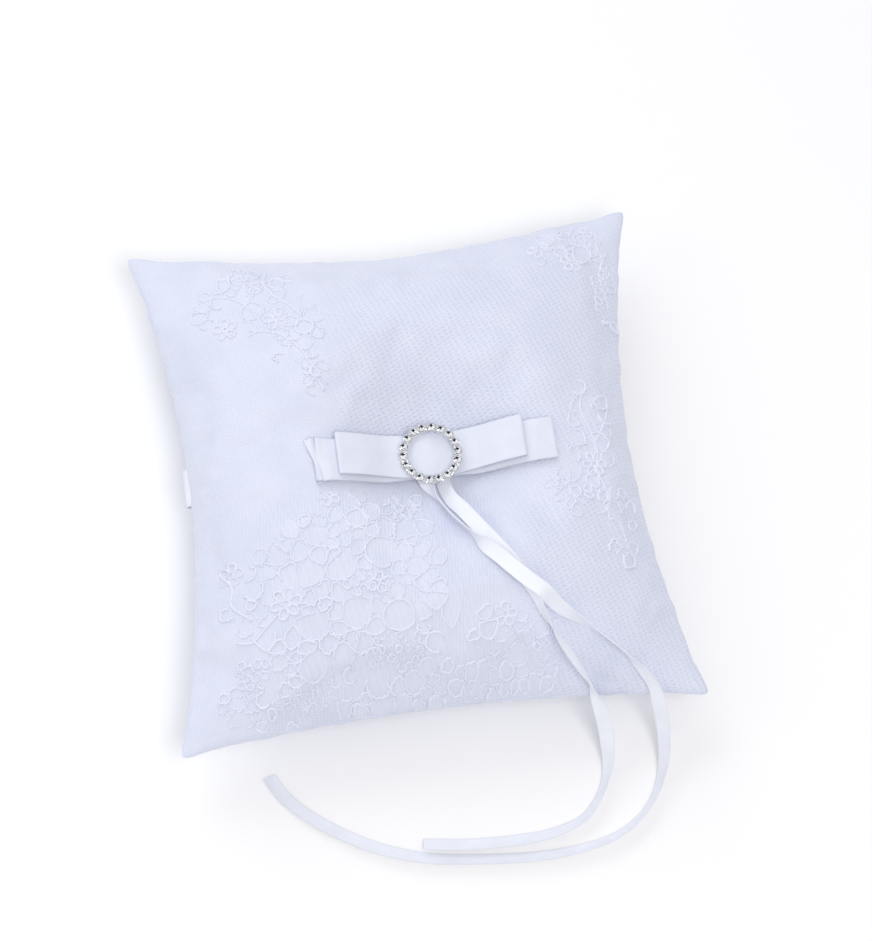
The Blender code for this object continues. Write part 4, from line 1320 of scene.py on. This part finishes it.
def plated_silver():
    finish, nodes, links, shader = new_material("plated_silver", SILVER, 0.16, 0.85)
    place = millimetres(nodes, links)
    cloudy = noise(nodes, links, place, 1.3, 4.0)
    rough = nodes.new("ShaderNodeMapRange")
    rough.inputs["To Min"].default_value = 0.10
    rough.inputs["To Max"].default_value = 0.30
    links.new(cloudy, rough.inputs["Value"])
    links.new(rough.outputs["Result"], shader.inputs["Roughness"])
    links.new(ramp(nodes, links, cloudy, tint(SILVER, 0.86), tint(SILVER, 1.03), 0.35, 0.65),
              shader.inputs["Base Color"])
    add_bump(nodes, links, shader, [(cloudy, 0.12, 0.00008)])
    return finish


def make_buckle(finish):
    parts = Parts()
    inner, outer = RING_RADIUS - RING_HALF_WIDTH, RING_RADIUS + RING_HALF_WIDTH
    base, top = RING_BOTTOM, RING_BOTTOM + RING_THICKNESS
    bevel = RING_BEVEL
    ring = [(inner + bevel, base), (outer - bevel, base), (outer, base + bevel), (outer, top - bevel),
            (outer - bevel, top), (inner + bevel, top), (inner, top - bevel), (inner, base + bevel)]
    parts.add(*turned(ring, RING_SIDES, TUFT, closed=True))
    seat = CUP_RADIUS - CUP_WALL
    for middle in STONE_MIDDLES:
        cup = [(CUP_RADIUS * 0.80, top - 0.0004), (CUP_RADIUS * 0.96, top + 0.0001),
               (CUP_RADIUS, top + 0.0005), (CUP_RADIUS, CUP_TOP - 0.00008), (CUP_RADIUS - 0.00010, CUP_TOP),
               (seat + 0.00006, CUP_TOP), (seat, CUP_TOP - 0.0001), (seat * 0.5, CUP_TOP - 0.0008)]
        parts.add(*turned(cup, CUP_SIDES, middle))
        outward = math.atan2(middle.y - TUFT.y, middle.x - TUFT.x)
        for claw in range(CLAWS):
            angle = outward + math.tau * (claw + 0.5) / CLAWS
            way = Vector((math.cos(angle), math.sin(angle), 0))
            foot = Vector((middle.x, middle.y, 0))
            parts.add(*rod([
                foot + way * (CUP_RADIUS * 0.97) + Vector((0, 0, top + 0.0001)),
                foot + way * (CUP_RADIUS * 0.99) + Vector((0, 0, CUP_TOP - 0.0001)),
                foot + way * (CUP_RADIUS * 0.93) + Vector((0, 0, CUP_TOP + 0.00024)),
                foot + way * (STONE_RADIUS * 0.80) + Vector((0, 0, CUP_TOP + 0.00042)),
            ], CLAW_RADIUS))
    reach = RING_RADIUS - RING_HALF_WIDTH * 0.6
    bar_bottom = buckle_low.z
    lift = max(0.0, base + RING_THICKNESS / 3 - bar_bottom)
    bar = [(-reach, lift), (-reach + BAR_BEND, 0), (0, 0), (reach - BAR_BEND, 0), (reach, lift)]
    parts.add(*rod([(TUFT.x, TUFT.y + y, bar_bottom + up + BAR_THICKNESS / 2) for y, up in bar],
                   BAR_THICKNESS / 2, BAR_SIDES))
    made = link_mesh("buckle", parts.points, parts.faces, finish)
    made.data.set_sharp_from_angle(angle=CAST_EDGE)
    return made


buckle = make_buckle(plated_silver())
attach(buckle, "root")
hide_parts("slide_buckle")

# ---------------------------------------------------------------------------------------------
# Stones. Eighteen round cut glass stones with foil on their backs, one in each cup. Their facets'
# colours are painted: painted flashes on some facets, painted dark reflections on others.

TABLE_SHARE = 0.50
STAR_SHARE = 0.78
CROWN_HEIGHT = 0.00062
GIRDLE_HEIGHT = 0.00010
PAVILION_DEPTH = 0.0007
PAINTED_DARK_REFLECTION_SIDE = math.radians(125)  # the way that a stone's facets with painted dark reflections face
# Each tone's painted colour, a painted flash or a painted reflection, and how far it mirrors the room
# instead of scattering the light.
PAINTED_REFLECTION_TONES = {
    "bright": ((0.97, 0.98, 1.0, 1), 0.25),
    "middle": ((0.62, 0.63, 0.66, 1), 0.70),
    "dark": ((0.030, 0.030, 0.038, 1), 0.85),
}
# How squarely a facet faces the painted dark side to be painted dark, and the share of the others painted a
# middle tone.
TIER_PAINTED_REFLECTIONS = {"table": (0.05, 0.15), "star": (0.72, 0.20), "kite": (0.72, 0.20)}
OTHER_TIER_PAINTED_REFLECTION = (2.0, 0.25)  # never painted dark


# A glass facet finish whose colour is a painted flash or a painted reflection of the room.
def glass_with_painted_reflection(name, colour, mirror):
    finish, nodes, links, shader = new_material(name, colour, 0.04, mirror)
    shader.inputs["Coat Weight"].default_value = 0.3
    shader.inputs["Coat Roughness"].default_value = 0.02
    place = millimetres(nodes, links)
    cloud = noise(nodes, links, place, 0.6, 2.0)
    links.new(ramp(nodes, links, cloud, tint(colour, 0.8), tint(colour, 1.05), 0.35, 0.65),
              shader.inputs["Base Color"])
    return finish


def stone_facets():
    """Points round the axis and facets as (corners, how far round, tier)."""
    def ring(radius, height, count, offset):
        turns = [math.tau * (k + offset) / count for k in range(count)]
        return [(radius * math.cos(turn), radius * math.sin(turn), height) for turn in turns]

    points = [(0, 0, GIRDLE_HEIGHT + CROWN_HEIGHT)]
    points += ring(TABLE_SHARE * STONE_RADIUS, GIRDLE_HEIGHT + CROWN_HEIGHT, 8, 0)
    points += ring(STAR_SHARE * STONE_RADIUS, GIRDLE_HEIGHT + 0.50 * CROWN_HEIGHT, 8, 0.5)
    points += ring(STONE_RADIUS, GIRDLE_HEIGHT, 16, 0)
    points += ring(STONE_RADIUS, 0, 16, 0)
    points += [(0, 0, -PAVILION_DEPTH)]
    table, star, upper, lower, tip = 1, 9, 17, 33, 49
    facets = []
    for k in range(8):
        after = (k + 1) % 8
        facets.append(((0, table + k, table + after), k + 0.5, "table"))
        facets.append(((table + k, star + k, table + after), k + 0.5, "star"))
        facets.append(((table + after, star + k, upper + (2 * k + 2) % 16, star + after), k + 1, "kite"))
        facets.append(((star + k, upper + 2 * k, upper + 2 * k + 1), k + 0.25, "girdle"))
        facets.append(((star + k, upper + 2 * k + 1, upper + (2 * k + 2) % 16), k + 0.75, "girdle"))
    for k in range(16):
        after = (k + 1) % 16
        facets.append(((upper + k, lower + k, lower + after, upper + after), k / 2, "band"))
        facets.append(((lower + k, tip, lower + after), k / 2, "pavilion"))
    return points, facets


def make_stone(number, middle, facet_reflection_paints):
    """A stone whose facets carry painted dark reflections towards the top left and painted flashes away
    from it.
    """
    draw = random.Random(100 + number)
    painted_tone_names = list(PAINTED_REFLECTION_TONES)
    points, facets = stone_facets()
    turn = math.tau * draw.random()
    spun = [(middle.x + x * math.cos(turn) - y * math.sin(turn),
             middle.y + x * math.sin(turn) + y * math.cos(turn),
             STONE_GIRDLE_HEIGHT + z) for x, y, z in points]
    made = link_mesh(f"crystal_{number:02d}", spun, [facet[0] for facet in facets], smooth=False)
    for tone in facet_reflection_paints:
        made.data.materials.append(tone)
    for face, (_, round_share, tier) in zip(made.data.polygons, facets):
        facing = math.cos(turn + math.tau * round_share / 8 - PAINTED_DARK_REFLECTION_SIDE)
        chance = draw.random()
        dark_from, middling_share = TIER_PAINTED_REFLECTIONS.get(tier, OTHER_TIER_PAINTED_REFLECTION)
        # Facets facing the painted dark side get a painted dark reflection; the others a painted flash or a
        # painted middle tone.
        if facing > dark_from:
            face.material_index = painted_tone_names.index("dark")
        elif chance < middling_share:
            face.material_index = painted_tone_names.index("middle")
        else:
            face.material_index = painted_tone_names.index("bright")
    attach(made, "root")
    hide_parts(f"stone_{number:02d}")


# The facet finishes: a painted flash, a painted middle reflection and a painted dark reflection.
painted_reflection_finishes = [glass_with_painted_reflection(f"crystal_{name}", *look) for name, look in PAINTED_REFLECTION_TONES.items()]
for stone_number, stone_middle in enumerate(STONE_MIDDLES, 1):
    make_stone(stone_number, stone_middle, painted_reflection_finishes)

# ---------------------------------------------------------------------------------------------
# Tuft thread. Strong polyester thread through cushion and bow, pulled tight and knotted on the
# back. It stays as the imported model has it, with a twisted thread's finish.

THREAD_WHITE = (0.86, 0.87, 0.90, 1)


def thread_finish():
    finish, nodes, links, shader = new_material("twisted_thread", THREAD_WHITE, 0.5, sheen=0.2)
    twist = stripes(nodes, links, millimetres(nodes, links, (0, 0.7, 0)), 0.4, 0.5)
    links.new(ramp(nodes, links, twist, tint(THREAD_WHITE, 0.8), THREAD_WHITE), shader.inputs["Base Color"])
    add_bump(nodes, links, shader, [(twist, 0.6, 0.0001)])
    return finish


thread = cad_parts["tuft_thread"]
thread.data.materials.clear()
thread.data.materials.append(thread_finish())

# ---------------------------------------------------------------------------------------------
# Tie ribbons. Two tails of one 6 mm satin ribbon that hold the rings. They come out from under
# the bow, lie over the lace and run on over the table. Their ends are cut straight and bare.

TIE_WIDTH = 0.006
TIE_THICKNESS = 0.0004
TIE_GAP = 0.00025
TIE_STEP = 0.0013
TIE_DROOP = 0.00022  # how far its edges curl down
STEEPEST_REST = math.radians(35)
TIE_WHITE = (0.87, 0.89, 0.955, 1)

# The routes' points: X, Y, the height it holds by itself (0 where it rests on what lies below)
# and its twist in degrees, which raises the side that lies to the left along the route.
SHORT_TIE_ROUTE = [
    (0.0088, -0.0042, 0, 20),
    (0.0089, -0.0090, 0, 34),
    (0.0094, -0.0135, 0, 40),
    (0.0110, -0.0185, 0, 40),
    (0.0142, -0.0235, 0, 36),
    (0.0176, -0.0298, 0, 34),
    (0.0213, -0.0362, 0, 30),
    (0.0255, -0.0430, 0, 30),
    (0.0312, -0.0520, 0, 40),
    (0.0355, -0.0605, 0, 62),
    (0.0385, -0.0690, 0, 80),
    (0.0424, -0.0768, 0, 95),
    (0.0478, -0.0845, 0, 98),
    (0.0530, -0.0915, 0.0370, 88),
    (0.0572, -0.0980, 0.0300, 62),
    (0.0604, -0.1050, 0.0205, 42),
    (0.0622, -0.1125, 0.0110, 46),
    (0.0622, -0.1205, 0.0045, 58),
    (0.0598, -0.1278, 0, 66),
    (0.0556, -0.1342, 0, 66),
    (0.0497, -0.1400, 0, 58),
    (0.0400, -0.1434, 0, 50),
    (0.0316, -0.1447, 0, 44),
    (0.0200, -0.1450, 0, 40),
    (0.0045, -0.1443, 0, 38),
    (-0.0135, -0.1420, 0, 36),
]
LONG_TIE_ROUTE = [
    (0.0018, -0.0042, 0, 0),
    (0.0024, -0.0095, 0, 20),
    (0.0040, -0.0138, 0, 70),
    (0.0058, -0.0178, 0, 104),
    (0.0092, -0.0245, 0, 112),
    (0.0130, -0.0309, 0, 110),
    (0.0166, -0.0362, 0, 92),
    (0.0202, -0.0408, 0, 44),
    (0.0242, -0.0453, 0, 24),
    (0.0288, -0.0510, 0, 20),
    (0.0340, -0.0568, 0, 20),
    (0.0397, -0.0621, 0, 26),
    (0.0449, -0.0668, 0, 34),
    (0.0527, -0.0726, 0, 70),
    (0.0608, -0.0785, 0, 96),
    (0.0688, -0.0850, 0, 96),
    (0.0748, -0.0912, 0, 72),
    (0.0792, -0.0968, 0.0320, 54),
    (0.0826, -0.1044, 0.0225, 56),
    (0.0844, -0.1134, 0.0125, 58),
    (0.0838, -0.1232, 0.0050, 62),
    (0.0802, -0.1324, 0, 68),
    (0.0738, -0.1406, 0, 70),
    (0.0648, -0.1468, 0, 62),
    (0.0530, -0.1505, 0, 54),
    (0.0380, -0.1521, 0, 48),
    (0.0225, -0.1519, 0, 44),
    (0.0070, -0.1504, 0, 42),
    (-0.0080, -0.1484, 0, 40),
    (-0.0182, -0.1459, 0, 38),
    (-0.0282, -0.1424, 0, 36),
    (-0.0378, -0.1378, 0, 34),
    (-0.0496, -0.1304, 0, 32),
    (-0.0590, -0.1228, 0, 32),
    (-0.0650, -0.1158, 0, 32),
    (-0.0690, -0.1085, 0, 32),
]


def height_of(tree, x, y):
    """How high the top of things stands at a place; the table is at 0."""
    hit = tree.ray_cast(Vector((x, y, HIGH)), DOWN)[0]
    return hit.z if hit else 0.0


def highest_near(values, reach):
    """For each value the highest within reach of it along the row."""
    return np.array([values[max(0, k - reach):k + reach + 1].max() for k in range(len(values))])


def make_tie(name, node, route, slope_tree, rest_tree, finish):
    """A ribbon on its route, lying on the lace, on the ribbon below it and on the table."""
    rows = smooth_line(route, TIE_STEP)
    ahead = np.gradient(rows[:, :2], axis=0)
    sides = np.stack([-ahead[:, 1], ahead[:, 0]], -1)
    sides /= np.linalg.norm(sides, axis=1)[:, None]
    half = TIE_WIDTH / 2
    slopes = []
    for (x, y), (side_x, side_y) in zip(rows[:, :2], sides):
        left = height_of(slope_tree, x + side_x * half, y + side_y * half)
        right = height_of(slope_tree, x - side_x * half, y - side_y * half)
        slopes.append(np.clip(math.atan2(left - right, TIE_WIDTH), -STEEPEST_REST, STEEPEST_REST))
    tilts = eased(np.array(slopes), 16) + np.radians(rows[:, 3])
    rests = []
    for (x, y), (side_x, side_y), tilt in zip(rows[:, :2], sides, tilts):
        highest = 0.0
        for share in np.linspace(-1, 1, 7):
            out = share * half * math.cos(tilt)
            rise = share * half * math.sin(tilt)
            highest = max(highest, height_of(rest_tree, x + side_x * out, y + side_y * out) - rise)
        rests.append(highest)
    rests = eased(highest_near(np.array(rests), 2), 6) + TIE_GAP + TIE_THICKNESS / 2
    heights = eased(np.maximum(rests, rows[:, 2]), 4)
    heights = np.maximum(heights, rests)
    stations = []
    for row, (side_x, side_y), tilt, height in zip(rows, sides, tilts, heights):
        side = (-side_x * math.cos(tilt), -side_y * math.cos(tilt), -math.sin(tilt))
        stations.append(((row[0], row[1], height), side, half))
    made = ribbon_mesh(name, stations, TIE_THICKNESS, False, finish, droop=TIE_DROOP)
    path = [place for place, *_ in stations]
    length = length_of(path)
    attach(made, "root")
    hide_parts(node)
    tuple(path[0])
    return made


tie_finish = ribbon_satin("tie_satin", TIE_WHITE, 0.40)
short_tie = make_tie("tie_short", "tie_ribbon_short", SHORT_TIE_ROUTE, net_tree,
                     tree_of(net, lace_cords), tie_finish)
make_tie("tie_long", "tie_ribbon_long", LONG_TIE_ROUTE, net_tree,
         tree_of(net, lace_cords, short_tie), tie_finish)
